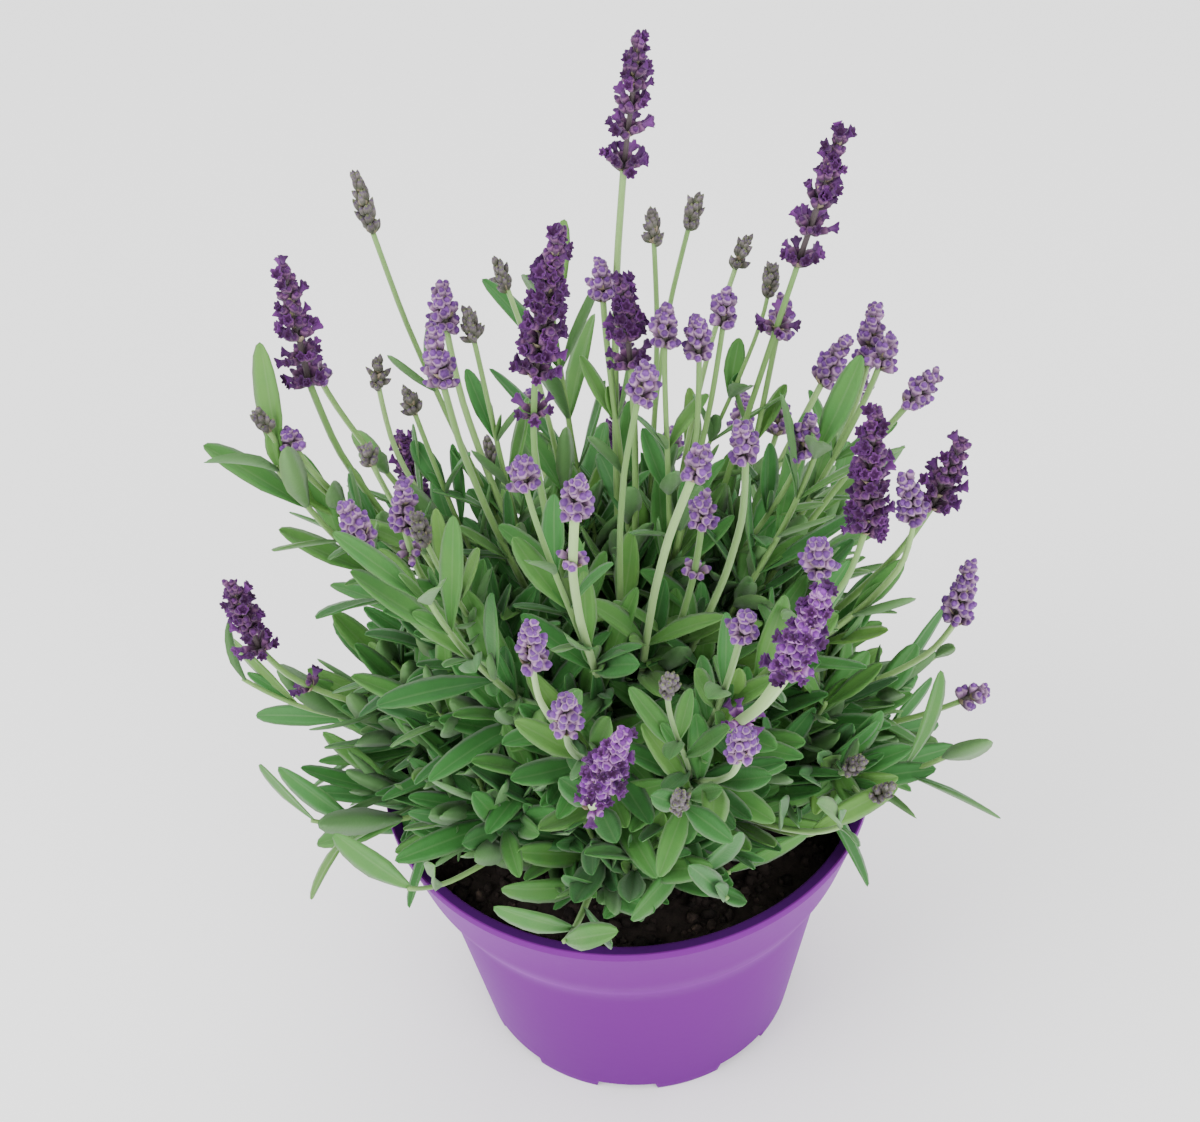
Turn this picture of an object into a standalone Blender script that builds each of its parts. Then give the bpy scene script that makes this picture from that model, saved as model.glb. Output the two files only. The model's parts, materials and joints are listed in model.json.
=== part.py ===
"""A lavender plant in a round nursery pot: one plastic pot, the potting soil that fills it, the woody
crown rooted in the soil, and the flower stalks and leafy shoots that grow out of the crown.

Metres, +Z up. The origin is the middle of the pot's underside, and -Y is the front of the plant.
"""

import math
from collections import namedtuple

import bmesh
import bpy
import numpy as np
from mathutils import Matrix, Vector, noise
from mathutils.bvhtree import BVHTree

# Pot
rim_radius = 0.085  # outside, over the lip
pot_height = 0.112
collar_height = 0.032  # the flared band under the rim
collar_foot_radius = 0.0765
body_top_radius = 0.072  # where the body meets the collar's step
base_radius = 0.058
wall = 0.0016
lip_width = 0.004
lip_height = 0.003
lip_overhang = 0.0006  # how far the lip stands proud of the collar
lip_chamfer = 0.00075
ledge = 0.0014  # the thickness of the step between body and collar
foot_ring_width = 0.004
channel_width = 0.011  # the raised ring of floor inside the foot ring
channel_height = 0.003
notch_count = 8
notch_width = 0.022
notch_skin = 0.0002  # how far a notch stays below the channel's roof
first_notch = math.radians(-97)  # its bearing round the pot, counted from +X
drain_hole_radius = 0.0035
drain_hole_sides = 10
pot_segments = 48
collar_foot_height = pot_height - collar_height
channel_inner = base_radius - foot_ring_width - channel_width
channel_middle = base_radius - foot_ring_width - channel_width / 2
floor_top = channel_height + wall  # the inner floor over the channel

# Soil and crown
soil_drop = 0.011  # from the rim down to the soil
soil_mound = 0.003  # how much the soil rises towards the crown
soil_ring_rise = 0.3  # the share of that rise at the watering ring's inner edge
soil_half_rise = 0.8  # the share of it halfway from the wall to the crown
crown_radius = 0.026
crown_height = 0.021  # above the soil
crown_shoulder = 0.3  # the share of its height at which the crown is widest
root_radius = 0.017
root_flare = 1.15  # how much wider the root is at the soil's surface
root_depth = 0.038
root_taper = ((0.95, 0.45), (0.6, 0.8), (0.25, 1.0))  # depths and the root's radii there, as shares
watering_ring = 0.012  # the nearly flat ring of soil along the wall
crown_knob = 0.0008  # how far the bark's knobs stand out
crown_knob_spacing = 0.007
crown_segments = 24

# Fits
fit_gap = 0.0003  # between pieces that touch
leaf_clearance = 0.0005  # between a growing piece and any other

# Growth
stem_sides = 5
stem_rings = 6
stem_pull = 0.8  # how stiffly a stem keeps its direction at its two ends
start_spacing = 0.0036  # between two stems where they leave the crown
start_spread = 0.5  # how much flatter a stem's start lies on the crown than its head stands; 1 is in line
start_lowest = 0.12  # the sine of the flattest bearing at which a stem leaves the crown
start_rounds = 400  # rounds of pushing the starts apart, at most
start_push = 0.3  # the share of two starts' overlap that one round undoes
start_slack = 0.02  # the share of the spacing that may be left missing
bow_step = 0.003  # a stem that meets another bows aside or lifts by steps of this
bow_steps = 5
leaf_length = 0.034
leaf_width = 0.0085
leaf_thickness = 0.0013
leaf_spread = math.radians(52)  # between a leaf and the stem above it
leaf_spacing = 0.0125  # between two pairs of leaves along a stem
leaf_outline = ((0.38, 0.92), (0.78, 0.85))  # places along a leaf and its width there, as shares
leaf_droop = 0.12  # how far a leaf's tip sinks, as a share of its length
leaf_shrink = 0.45  # how much shorter the top pair is than the lowest, as a share
leaf_sizes = (0.85, 1.1)  # the range of a leaf's own size
first_pair = 0.6  # the lowest pair's place, in leaf spacings up the leafy stretch
leaf_nudges = (0.0, 0.35, -0.35, 0.7, -0.7)  # turns tried where another piece is in a leaf's way
shoot_rise = 0.6  # how strongly a shoot's end turns up
shoot_leaves = (0.3, 0.97)  # the stretch of a leafy shoot that bears leaves, as shares of its length
stalk_leaves = (0.34, 0.5)  # the same on a flower stalk

# A flower head: how thick it is, how long one whorl of flowers is, and its stem's radius
Bloom = namedtuple("Bloom", "radius whorl stem")
blooms = {
    "open": Bloom(0.0076, 0.0074, 0.0012),
    "budded": Bloom(0.0050, 0.0068, 0.0010),
    "young": Bloom(0.0030, 0.0062, 0.0008),
}
head_taper = 0.5  # how much slimmer a head is at its tip than at its foot, as a share
whorl_outline = ((0.18, 0.62), (0.6, 1.0))  # places up a whorl and its radius there, as shares
outward_lean = 0.45  # how far a head leans to the front or back, for each unit out by one unit of rise
least_rise = 60  # in millimetres; a lower head leans no more than one that stands this high

# Flower heads in millimetres: where the head's foot stands from the pot's axis (x, y) and above
# the soil (rise), the head's length, and how far it leans to the side for each unit that it climbs.
Head = namedtuple("Head", "x y rise length lean bloom")
heads = (
    # the tall and the fully open ones
    Head(9, 35, 224, 43, 0.15, "open"),
    Head(8, 10, 171, 34, -0.05, "open"),
    Head(60, 30, 190, 48, 0.3, "open"),
    Head(-89, 10, 172, 44, -0.05, "open"),
    Head(-20, -30, 198, 53, 0.2, "open"),
    Head(72, -45, 147, 52, 0.0, "open"),
    Head(43, -95, 140, 47, 0.2, "open"),
    Head(-116, -10, 83, 34, -0.15, "open"),
    Head(-10, -100, 104, 46, 0.2, "open"),
    Head(98, -10, 125, 30, 0.3, "open"),
    Head(5, 98, 60, 34, 0.0, "open"),
    Head(-68, 72, 70, 32, -0.2, "open"),
    # lilac buds, left
    Head(-47, 20, 182, 19, 0.0, "budded"),
    Head(-48, 0, 175, 25, -0.05, "budded"),
    Head(-62, -30, 146, 23, 0.1, "budded"),
    # lilac buds, middle and front
    Head(8, -40, 195, 16, 0.25, "budded"),
    Head(-11, -80, 188, 18, 0.15, "budded"),
    Head(-25, -95, 150, 22, 0.05, "budded"),
    Head(-17, -105, 138, 16, 0.1, "budded"),
    Head(21, -60, 182, 15, 0.35, "budded"),
    Head(37, -50, 180, 17, -0.1, "budded"),
    Head(25, -40, 148, 16, 0.05, "budded"),
    Head(28, 0, 180, 17, -0.05, "budded"),
    Head(36, 12, 182, 16, 0.1, "budded"),
    Head(30, -110, 126, 18, 0.0, "budded"),
    # lilac buds, right
    Head(56, -70, 154, 18, -0.15, "budded"),
    Head(110, -20, 50, 13, 1.4, "budded"),
    Head(109, -10, 76, 30, 0.1, "budded"),
    Head(91, -22, 130, 22, -0.2, "budded"),
    Head(92, 10, 150, 17, 0.8, "budded"),
    Head(83, 30, 152, 25, 0.1, "budded"),
    Head(67, 20, 153, 21, 0.45, "budded"),
    # lilac buds, back
    Head(-25, 92, 88, 18, -0.1, "budded"),
    Head(48, 88, 84, 18, 0.2, "budded"),
    Head(85, 75, 105, 20, 0.4, "budded"),
    # young grey-green heads
    Head(-66, 30, 211, 23, -0.15, "young"),
    Head(18, 50, 189, 14, -0.05, "young"),
    Head(29, 60, 187, 15, 0.35, "young"),
    Head(43, 50, 178, 14, 0.4, "young"),
    Head(-28, 40, 182, 13, -0.3, "young"),
    Head(-70, 20, 162, 13, 0.1, "young"),
)

# Leafy shoots in millimetres: where the shoot's tip stands, as for a head
Shoot = namedtuple("Shoot", "x y rise")
shoots = (
    # low ones, round the rim from the left front to the left
    Shoot(-98, -42, 34),
    Shoot(-66, -82, 46),
    Shoot(-22, -88, 26),
    Shoot(26, -84, 36),
    Shoot(60, -74, 52),
    Shoot(96, -42, 44),
    Shoot(104, 12, 36),
    Shoot(78, 70, 50),
    Shoot(30, 100, 44),
    Shoot(-28, 98, 40),
    Shoot(-80, 62, 52),
    Shoot(-122, 6, 50),
    # high ones, between the flower stalks
    Shoot(-98, -8, 150),
    Shoot(-52, -62, 140),
    Shoot(60, -12, 145),
    Shoot(-15, 62, 150),
)
tip_bud_length = 0.009
tip_bud_radius = 0.0022
shoot_stem_radius = 0.0011

millimetre = 0.001
soil_top = pot_height - soil_drop


# meshes and materials


def material(name, colour, roughness, metallic=0.0):
    made = bpy.data.materials.new(name)
    made.use_nodes = True
    shader = made.node_tree.nodes["Principled BSDF"]
    shader.inputs["Base Color"].default_value = (*colour, 1.0)
    shader.inputs["Roughness"].default_value = roughness
    shader.inputs["Metallic"].default_value = metallic
    made.diffuse_color = (*colour, 1.0)
    return made


def object_from(bm, name, finish=None, sharp=math.radians(40)):
    """Turns a bmesh into a named object, shaded smooth except across edges sharper than `sharp`."""
    bmesh.ops.recalc_face_normals(bm, faces=bm.faces)
    mesh = bpy.data.meshes.new(name)
    bm.to_mesh(mesh)
    bm.free()
    mesh.shade_smooth()
    mesh.set_sharp_from_angle(angle=sharp)
    made = bpy.data.objects.new(name, mesh)
    bpy.context.scene.collection.objects.link(made)
    if finish:
        mesh.materials.append(finish)
    return made


def merged(target, tool, operation):
    """Applies one Boolean of `tool` to `target` and removes the tool."""
    step = target.modifiers.new(operation.lower(), "BOOLEAN")
    step.operation = operation
    step.object = tool
    step.use_self = True
    bpy.context.view_layer.update()
    graph = bpy.context.evaluated_depsgraph_get()
    result = bpy.data.meshes.new_from_object(target.evaluated_get(graph))
    target.modifiers.remove(step)
    old = target.data
    target.data = result
    result.name = target.name
    bpy.data.meshes.remove(old)
    bpy.data.objects.remove(tool)
    return target


def turned(profile, segments):
    """Spins a profile of (radius, height) points, both ends on the axis, once round Z."""
    bm = bmesh.new()
    corners = [bm.verts.new((radius, 0.0, height)) for radius, height in profile]
    edges = [bm.edges.new(pair) for pair in zip(corners, corners[1:])]
    bmesh.ops.spin(
        bm,
        geom=corners + edges,
        axis=(0, 0, 1),
        cent=(0, 0, 0),
        angle=2 * math.pi,
        steps=segments,
        use_merge=True,
    )
    bmesh.ops.remove_doubles(bm, verts=bm.verts, dist=1e-6)
    return bm


def add_rings(bm, rings, ends=(None, None)):
    """Bridges rings of points into a closed skin; each end is a pole if given, or a flat cap."""
    loops = [[bm.verts.new(point) for point in ring] for ring in rings]
    count = len(loops[0])
    for low, high in zip(loops, loops[1:]):
        for i in range(count):
            j = (i + 1) % count
            bm.faces.new((low[i], low[j], high[j], high[i]))
    for loop, end, flip in ((loops[0], ends[0], True), (loops[-1], ends[1], False)):
        if end is None:
            bm.faces.new(loop[::-1] if flip else loop)
            continue
        pole = bm.verts.new(end)
        for i in range(count):
            j = (i + 1) % count
            bm.faces.new((pole, loop[j], loop[i]) if flip else (loop[i], loop[j], pole))


def frames_along(points, first=None):
    """A (point, side, up, forward) frame at each point of a path, carried on without twist."""
    result = []
    side = None
    for i, point in enumerate(points):
        before = points[max(i - 1, 0)]
        after = points[min(i + 1, len(points) - 1)]
        forward = (after - before).normalized()
        if first and i == 0:
            forward = first
        if side is None:
            side = forward.orthogonal().normalized()
        side = (side - forward * side.dot(forward)).normalized()
        result.append((point, side, forward.cross(side), forward))
    return result


def tube(points, radii, sides, tip, away):
    """A closed tube along points, with one radius at each, cut square to `away` and ending in a tip."""
    bm = bmesh.new()
    rings = []
    for (centre, side, up, _), radius in zip(frames_along(points, away), radii):
        turns = [2 * math.pi * i / sides for i in range(sides)]
        rings.append([centre + radius * (side * math.cos(a) + up * math.sin(a)) for a in turns])
    add_rings(bm, rings, (None, tip))
    return bm


# pot and soil


def inner_wall():
    """The wall's inside, as (radius, height) points from the raised floor up to under the lip."""
    share = floor_top / collar_foot_height
    under_lip = pot_height - 2 * lip_height
    climb = (under_lip - collar_foot_height) / collar_height
    return [
        (base_radius + share * (body_top_radius - base_radius) - wall, floor_top),
        (body_top_radius - wall, collar_foot_height),
        (collar_foot_radius - wall, collar_foot_height + ledge),
        (collar_foot_radius + climb * (rim_radius - lip_overhang - collar_foot_radius) - wall, under_lip),
    ]


def pot_profile():
    """The outline of the pot's wall, from the underside's middle round to the inner floor's."""
    foot_inner = base_radius - foot_ring_width
    lip_inner = rim_radius - lip_width
    return [
        (0, 0),
        (channel_inner, 0),
        (channel_inner, channel_height),
        (foot_inner, channel_height),
        (foot_inner, 0),
        (base_radius, 0),
        (body_top_radius, collar_foot_height - ledge),
        (collar_foot_radius, collar_foot_height),
        (rim_radius - lip_overhang, pot_height - lip_height),
        (rim_radius, pot_height - lip_height + lip_chamfer),
        (rim_radius, pot_height - lip_chamfer),
        (rim_radius - lip_chamfer, pot_height),
        (lip_inner + lip_chamfer, pot_height),
        (lip_inner, pot_height - lip_chamfer),
        *inner_wall()[::-1],
        (channel_inner - wall, floor_top),
        (channel_inner - wall, wall),
        (0, wall),
    ]


def notch_and_hole_cutters():
    """One mesh that holds the notches through the foot ring and the drain holes in the channel."""
    bm = bmesh.new()
    outer = base_radius + foot_ring_width
    half = notch_width / 2
    for i in range(notch_count):
        turn = Matrix.Rotation(first_notch + 2 * math.pi * i / notch_count, 4, "Z")
        corners = [(channel_middle, -half), (outer, -half), (outer, half), (channel_middle, half)]
        heights = (-channel_height, channel_height - notch_skin)
        add_rings(bm, [[turn @ Vector((x, y, z)) for x, y in corners] for z in heights])
        hole = Matrix.Translation(turn @ Vector((channel_middle, 0, channel_height)))
        bmesh.ops.create_cone(
            bm,
            cap_ends=True,
            segments=drain_hole_sides,
            radius1=drain_hole_radius,
            radius2=drain_hole_radius,
            depth=2 * (channel_height + wall),
            matrix=hole,
        )
    return bm


def make_pot():
    plastic = material("pot_plastic", (0.28, 0.11, 0.42), 0.38)
    pot = object_from(turned(pot_profile(), pot_segments), "pot", plastic, math.radians(30))
    cutters = object_from(notch_and_hole_cutters(), "pot_cutters")
    return merged(pot, cutters, "DIFFERENCE")


def crown_profile():
    """The crown's outline, as (radius, height above the soil), from the root's end to its top."""
    dome = [
        (crown_radius * math.cos(a), crown_height * (crown_shoulder + (1 - crown_shoulder) * math.sin(a)))
        for a in (math.radians(15 * i) for i in range(6))
    ]
    root = [(root_radius * broad, -root_depth * deep) for deep, broad in root_taper]
    return [(0, -root_depth), *root, (root_radius * root_flare, 0), *dome, (0, crown_height)]


def make_soil():
    """Fills the pot up to the soil line, with a fitted pocket for the crown's root."""
    peat = material("potting_soil", (0.018, 0.012, 0.009), 0.95)
    floor = wall + fit_gap
    shelf = floor_top + fit_gap
    low = channel_inner - wall - fit_gap
    edge = np.interp(soil_top, *zip(*[(height, radius) for radius, height in inner_wall()])) - fit_gap
    (foot, _), (body, step), (collar, above_step), _ = inner_wall()
    neck = root_radius * root_flare + fit_gap
    outline = [
        (0, floor),
        (low, floor),
        (low, shelf),
        (foot - fit_gap, shelf),
        (body - fit_gap, step + fit_gap),
        (collar - fit_gap, above_step + fit_gap),
        (edge, soil_top),
        (edge - watering_ring, soil_top + soil_mound * soil_ring_rise),
        ((edge + crown_radius) / 2, soil_top + soil_mound * soil_half_rise),
        (crown_radius + fit_gap, soil_top + soil_mound),
    ]
    root = crown_profile()[1 : 1 + len(root_taper)]
    pocket = [(radius + fit_gap, soil_top + height - fit_gap) for radius, height in root]
    bottom = (0, soil_top - root_depth - fit_gap)
    outline += [(neck, soil_top), *pocket[::-1], bottom]
    return object_from(turned(outline, pot_segments), "potting_soil", peat)


def make_crown():
    bark = material("lavender_bark", (0.13, 0.09, 0.06), 0.85)
    points = [(radius, soil_top + height) for radius, height in crown_profile()]
    bm = turned(points, crown_segments)
    for vert in bm.verts:
        flat = Vector((vert.co.x, vert.co.y, 0))
        if vert.co.z > soil_top + crown_height * crown_shoulder - fit_gap and flat.length > fit_gap:
            bump = noise.noise(vert.co / crown_knob_spacing)
            vert.co += flat.normalized() * crown_knob * bump
    return object_from(bm, "woody_crown", bark)


# room between the pieces


class Thicket:
    """The skins of the pieces placed so far, asked whether a new skin would run into them."""

    def __init__(self):
        self.skins = {}

    def add(self, name, bm):
        self.skins[name] = self.skin(bm)

    @staticmethod
    def skin(bm):
        points = np.array([vert.co[:] for vert in bm.verts])
        return BVHTree.FromBMesh(bm), points.min(axis=0), points.max(axis=0)

    def hits(self, bm, own=None):
        """Whether bm meets any skin but its own stem's."""
        tree, low, high = self.skin(bm)
        for name, (other, other_low, other_high) in self.skins.items():
            if name == own or (low > other_high).any() or (high < other_low).any():
                continue
            if tree.overlap(other):
                return True
        return False


def bmesh_of(made):
    bm = bmesh.new()
    bm.from_mesh(made.data)
    return bm


# stems


def crown_starts(directions, crown):
    """Where the stems leave the crown: one place for each direction, pushed apart to start_spacing."""
    centre = Vector((0, 0, soil_top + crown_height * crown_shoulder))
    tree = Thicket.skin(bmesh_of(crown))[0]
    rays = np.array([direction[:] for direction in directions]) * (1, 1, start_spread)
    rays /= np.linalg.norm(rays, axis=1)[:, None]
    spacing = start_spacing / crown_radius
    for _ in range(start_rounds):
        gaps = rays[:, None] - rays[None]
        far = np.linalg.norm(gaps, axis=2) + np.eye(len(rays)) * 9
        push = np.clip(spacing - far, 0, None)
        if push.max() < spacing * start_slack:
            break
        rays = rays + start_push * (gaps / far[..., None] * push[..., None]).sum(axis=1)
        rays[:, 2] = np.clip(rays[:, 2], start_lowest, None)
        rays /= np.linalg.norm(rays, axis=1)[:, None]
    starts = []
    for ray in rays:
        hit, normal, _, _ = tree.ray_cast(centre, Vector(ray))
        starts.append((hit + normal * fit_gap, normal))
    return starts


def stem_path(start, away, foot, up, bow, count):
    """A cubic from the crown to the head's foot, bowed sideways in the middle."""
    chord = foot - start
    reach = chord.length * stem_pull
    sideways = chord.cross(Vector((0, 0, 1)))
    sideways = sideways.normalized() if sideways.length > 1e-6 else Vector((1, 0, 0))
    lifted = sideways.cross(chord).normalized()
    points = []
    for i in range(count + 1):
        t = i / count
        a = 2 * t**3 - 3 * t**2 + 1
        b = t**3 - 2 * t**2 + t
        c = t**3 - t**2
        point = a * start + b * reach * away + (1 - a) * foot + c * reach * up
        points.append(point + (sideways * bow[0] + lifted * bow[1]) * math.sin(math.pi * t) ** 2)
    return points


def head_rings(foot, up, length, bloom):
    """Points and radii up a flower head: a bulge at each whorl, slimmer towards the tip."""
    count = max(2, round(length / bloom.whorl))
    points = []
    radii = []
    for i in range(count):
        taper = 1 - head_taper * (i / count) ** 2
        for share, swell in whorl_outline:
            points.append(foot + up * length * (i + share) / count)
            radii.append(bloom.radius * taper * swell)
    return points, radii


def bow_choices():
    """Bows as (sideways, lifted), from straight to the widest."""
    steps = range(-bow_steps, bow_steps + 1)
    pairs = sorted((abs(i) + abs(j), i, j) for i in steps for j in steps)
    return [(i * bow_step, j * bow_step) for _, i, j in pairs]


def grown(name, finish, build, thicket):
    """The stem with the smallest bow that keeps clear of the thicket, and that bow."""
    for bow in bow_choices():
        if not thicket.hits(build(bow, leaf_clearance)):
            break
    else:
        print(name, "has no clear way")
    thicket.add(name, build(bow, 0.0))
    return object_from(build(bow, 0.0), name, finish, math.radians(60)), bow


def make_stalk(number, head, start, away, thicket, stem_green, tint):
    """A flower stalk without its leaves, and the path of its stem."""
    bloom = blooms[head.bloom]
    foot = place(head)
    up = head_direction(head)
    length = head.length * millimetre

    def build(bow, clearance):
        path = stem_path(start, away, foot, up, bow, stem_rings)
        points, radii = head_rings(foot, up, length, bloom)
        thick = [bloom.stem, *[bloom.stem + clearance] * stem_rings]
        swollen = [radius + clearance for radius in radii]
        tip = foot + up * (length + clearance)
        return tube([*path, *points], [*thick, *swollen], stem_sides, tip, away)

    stalk, bow = grown(f"flower_stalk_{number:02d}", stem_green, build, thicket)
    stalk.data.materials.append(tint)
    for face in stalk.data.polygons:
        face.material_index = int((face.center - foot).dot(up) > 0)
    return stalk, stem_path(start, away, foot, up, bow, stem_rings)


def make_shoot(number, shoot, start, away, thicket, green):
    """A leafy shoot without its leaves, a stem that ends in a small bud, and the stem's path."""
    tip = place(shoot)
    up = ((tip - start).normalized() + Vector((0, 0, shoot_rise))).normalized()

    def build(bow, clearance):
        path = stem_path(start, away, tip, up, bow, stem_rings)
        thick = [shoot_stem_radius, *[shoot_stem_radius + clearance] * stem_rings]
        bud = tip + up * tip_bud_length * 0.5
        end = tip + up * (tip_bud_length + clearance)
        return tube([*path, bud], [*thick, tip_bud_radius + clearance], stem_sides, end, away)

    stem, bow = grown(f"leafy_shoot_{number:02d}", green, build, thicket)
    return stem, stem_path(start, away, tip, up, bow, stem_rings)


def place(piece):
    """Where a head's foot or a shoot's tip stands."""
    return Vector((piece.x * millimetre, piece.y * millimetre, soil_top + piece.rise * millimetre))


def head_direction(head):
    """A head leans out to the front or back by its place, and to the side by its own lean."""
    return Vector((head.lean, outward_lean * head.y / max(head.rise, least_rise), 1)).normalized()


# leaves


def leaf(base, along, flat, length, width, droop, clearance=0.0):
    """A thin oblong blade: two rings, each flat below and ridged above, between two pointed ends."""
    side = along.cross(flat).normalized()
    normal = side.cross(along).normalized()
    bm = bmesh.new()
    rings = []
    for share, broad in leaf_outline:
        centre = base + along * length * share - normal * droop * share**2
        half_width = side * (width * broad / 2 + clearance)
        under = centre - normal * clearance
        ridge = centre + normal * (leaf_thickness + clearance)
        rings.append([under + half_width, ridge, under - half_width])
    tip = base + along * (length + clearance) - normal * droop
    add_rings(bm, rings, (base + along * 3 * clearance, tip))
    return bm


def add_leaves(stem, path, radius, stretch, seed, thicket):
    """Opposite pairs up the path, each turned a quarter from the one below, where there is room."""
    rng = np.random.default_rng(seed)
    frames = frames_along(path)
    lengths = [0.0]
    for a, b in zip(path, path[1:]):
        lengths.append(lengths[-1] + (b - a).length)
    total = lengths[-1]
    low, high = stretch
    count = max(1, int(total * (high - low) / leaf_spacing))
    twist = rng.uniform(0, math.pi)
    blades = bmesh.new()
    for pair in range(count):
        along_stem = (low + (high - low) * (pair + first_pair) / count) * total
        here = int(np.searchsorted(lengths, along_stem)) - 1
        mix = (along_stem - lengths[here]) / (lengths[here + 1] - lengths[here])
        centre = path[here].lerp(path[here + 1], mix)
        _, side, up, forward = frames[here]
        size = leaf_length * (1 - leaf_shrink * (pair / count) ** 2) * rng.uniform(*leaf_sizes)
        for half in (0, math.pi):
            for nudge in leaf_nudges:
                turn = twist + half + pair * math.pi / 2 + nudge
                out = side * math.cos(turn) + up * math.sin(turn)
                along = (forward * math.cos(leaf_spread) + out * math.sin(leaf_spread)).normalized()
                pose = (centre - out * radius / 2, along, forward, size, leaf_width, size * leaf_droop)
                roomy = leaf(*pose, leaf_clearance)
                if thicket.hits(roomy, stem.name):
                    continue
                thicket.add(f"{stem.name} leaf {pair} {half:.0f}", roomy)
                blade = bpy.data.meshes.new("leaf")
                leaf(*pose).to_mesh(blade)
                blades.from_mesh(blade)
                bpy.data.meshes.remove(blade)
                break
    if blades.verts:
        merged(stem, object_from(blades, "blades"), "UNION")


# assembly


def clear_scene():
    for item in list(bpy.data.objects):
        bpy.data.objects.remove(item)


def build_lavender():
    clear_scene()
    pot = make_pot()
    soil = make_soil()
    crown = make_crown()
    thicket = Thicket()
    for made in (pot, soil, crown):
        thicket.add(made.name, bmesh_of(made))
    stem_green = material("flower_stem", (0.26, 0.36, 0.16), 0.6)
    leaf_green = material("lavender_leaf", (0.16, 0.27, 0.1), 0.65)
    tints = {
        "open": material("open_flowers", (0.13, 0.045, 0.27), 0.8),
        "budded": material("lilac_buds", (0.27, 0.17, 0.42), 0.8),
        "young": material("young_heads", (0.25, 0.27, 0.2), 0.8),
    }
    middle = Vector((0, 0, soil_top))
    starts = crown_starts([place(piece) - middle for piece in (*heads, *shoots)], crown)
    stems = []
    for number, (head, start) in enumerate(zip(heads, starts), 1):
        stalk, path = make_stalk(number, head, *start, thicket, stem_green, tints[head.bloom])
        stems.append((stalk, path, blooms[head.bloom].stem, stalk_leaves))
    for number, (shoot, start) in enumerate(zip(shoots, starts[len(heads) :]), 1):
        stem, path = make_shoot(number, shoot, *start, thicket, leaf_green)
        stems.append((stem, path, shoot_stem_radius, shoot_leaves))
    for seed, stem in enumerate(stems[::-1]):
        add_leaves(*stem, seed, thicket)


build_lavender()
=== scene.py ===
import json
import math

import bpy
import numpy as np
from mathutils import Matrix, Vector


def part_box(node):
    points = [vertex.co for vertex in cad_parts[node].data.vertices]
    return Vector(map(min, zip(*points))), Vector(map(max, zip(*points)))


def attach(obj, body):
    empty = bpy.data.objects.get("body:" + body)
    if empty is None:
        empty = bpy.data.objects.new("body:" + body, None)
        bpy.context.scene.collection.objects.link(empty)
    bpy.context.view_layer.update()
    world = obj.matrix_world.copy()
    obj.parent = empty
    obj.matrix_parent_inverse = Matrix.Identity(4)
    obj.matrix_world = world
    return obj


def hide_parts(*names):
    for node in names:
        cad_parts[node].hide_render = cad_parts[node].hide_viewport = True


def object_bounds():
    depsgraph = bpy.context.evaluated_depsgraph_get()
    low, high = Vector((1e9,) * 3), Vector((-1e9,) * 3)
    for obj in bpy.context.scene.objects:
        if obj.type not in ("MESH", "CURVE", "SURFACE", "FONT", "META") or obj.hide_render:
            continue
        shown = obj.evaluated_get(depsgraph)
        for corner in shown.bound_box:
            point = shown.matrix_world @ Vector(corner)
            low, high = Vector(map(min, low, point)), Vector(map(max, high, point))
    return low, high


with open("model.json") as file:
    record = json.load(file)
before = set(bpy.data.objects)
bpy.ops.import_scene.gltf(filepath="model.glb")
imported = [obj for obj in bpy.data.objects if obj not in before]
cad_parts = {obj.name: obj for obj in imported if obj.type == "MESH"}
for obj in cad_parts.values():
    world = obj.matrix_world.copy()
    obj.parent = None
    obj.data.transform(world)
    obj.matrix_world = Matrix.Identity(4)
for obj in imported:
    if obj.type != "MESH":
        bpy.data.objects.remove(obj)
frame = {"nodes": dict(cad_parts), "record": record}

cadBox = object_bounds()
print("frame loaded:", len(frame["nodes"]), "nodes")


def trianglesOf(name):
    # the corners of a CAD node's triangles, (triangle, corner, xyz)
    mesh = frame["nodes"][name].data
    mesh.calc_loop_triangles()
    points = np.empty(len(mesh.vertices) * 3, np.float32)
    mesh.vertices.foreach_get("co", points)
    corners = np.empty(len(mesh.loop_triangles) * 3, np.int32)
    mesh.loop_triangles.foreach_get("vertices", corners)
    return points.reshape(-1, 3).astype(float)[corners.reshape(-1, 3)]


def slotOf(name):
    return next(part["material_slot"] for part in frame["record"]["subparts"] if part["node"] == name)


def nodesLike(start):
    return sorted(name for name in frame["nodes"] if name.startswith(start))


def unit(vectors):
    # each vector over its own length
    return vectors / np.maximum(np.linalg.norm(vectors, axis=-1, keepdims=True), 1e-12)


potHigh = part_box("pot")[1]
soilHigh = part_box("potting_soil")[1]
crownLow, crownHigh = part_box("woody_crown")
rimRadius = float(potHigh[0])
rimHeight = float(potHigh[2])
soilTop = float(soilHigh[2])
crownRadius = float(crownHigh[0] - crownLow[0]) / 2
crownHeart = np.array([0.0, 0.0, soilTop])
upright = np.array([0.0, 0.0, 1.0])
askew = np.array([0.31, 0.17, 0.93])    # any slanted direction does, to count turns round a stem from

trace = {
    "step": 0.003,          # between two slices through a stem
    "mostSteps": 140,
    "reach": 0.0028,        # how far from the last slice's middle a slice looks
    "fewest": 3,            # points in a slice, below which the stem has ended
    "shift": 0.0012,        # the most that the middle moves aside from one slice to the next
    "keep": 0.7,            # how much of the last heading the next one keeps, and how much it turns
    "turn": 0.3,
    "start": 0.004,         # the stem's foot is the middle of the points this near to its lowest one
    "end": 0.012,           # how near to the head's foot the climb ends
    "smoothings": 6,
    "rows": 26,             # points kept along a stem
}


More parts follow.
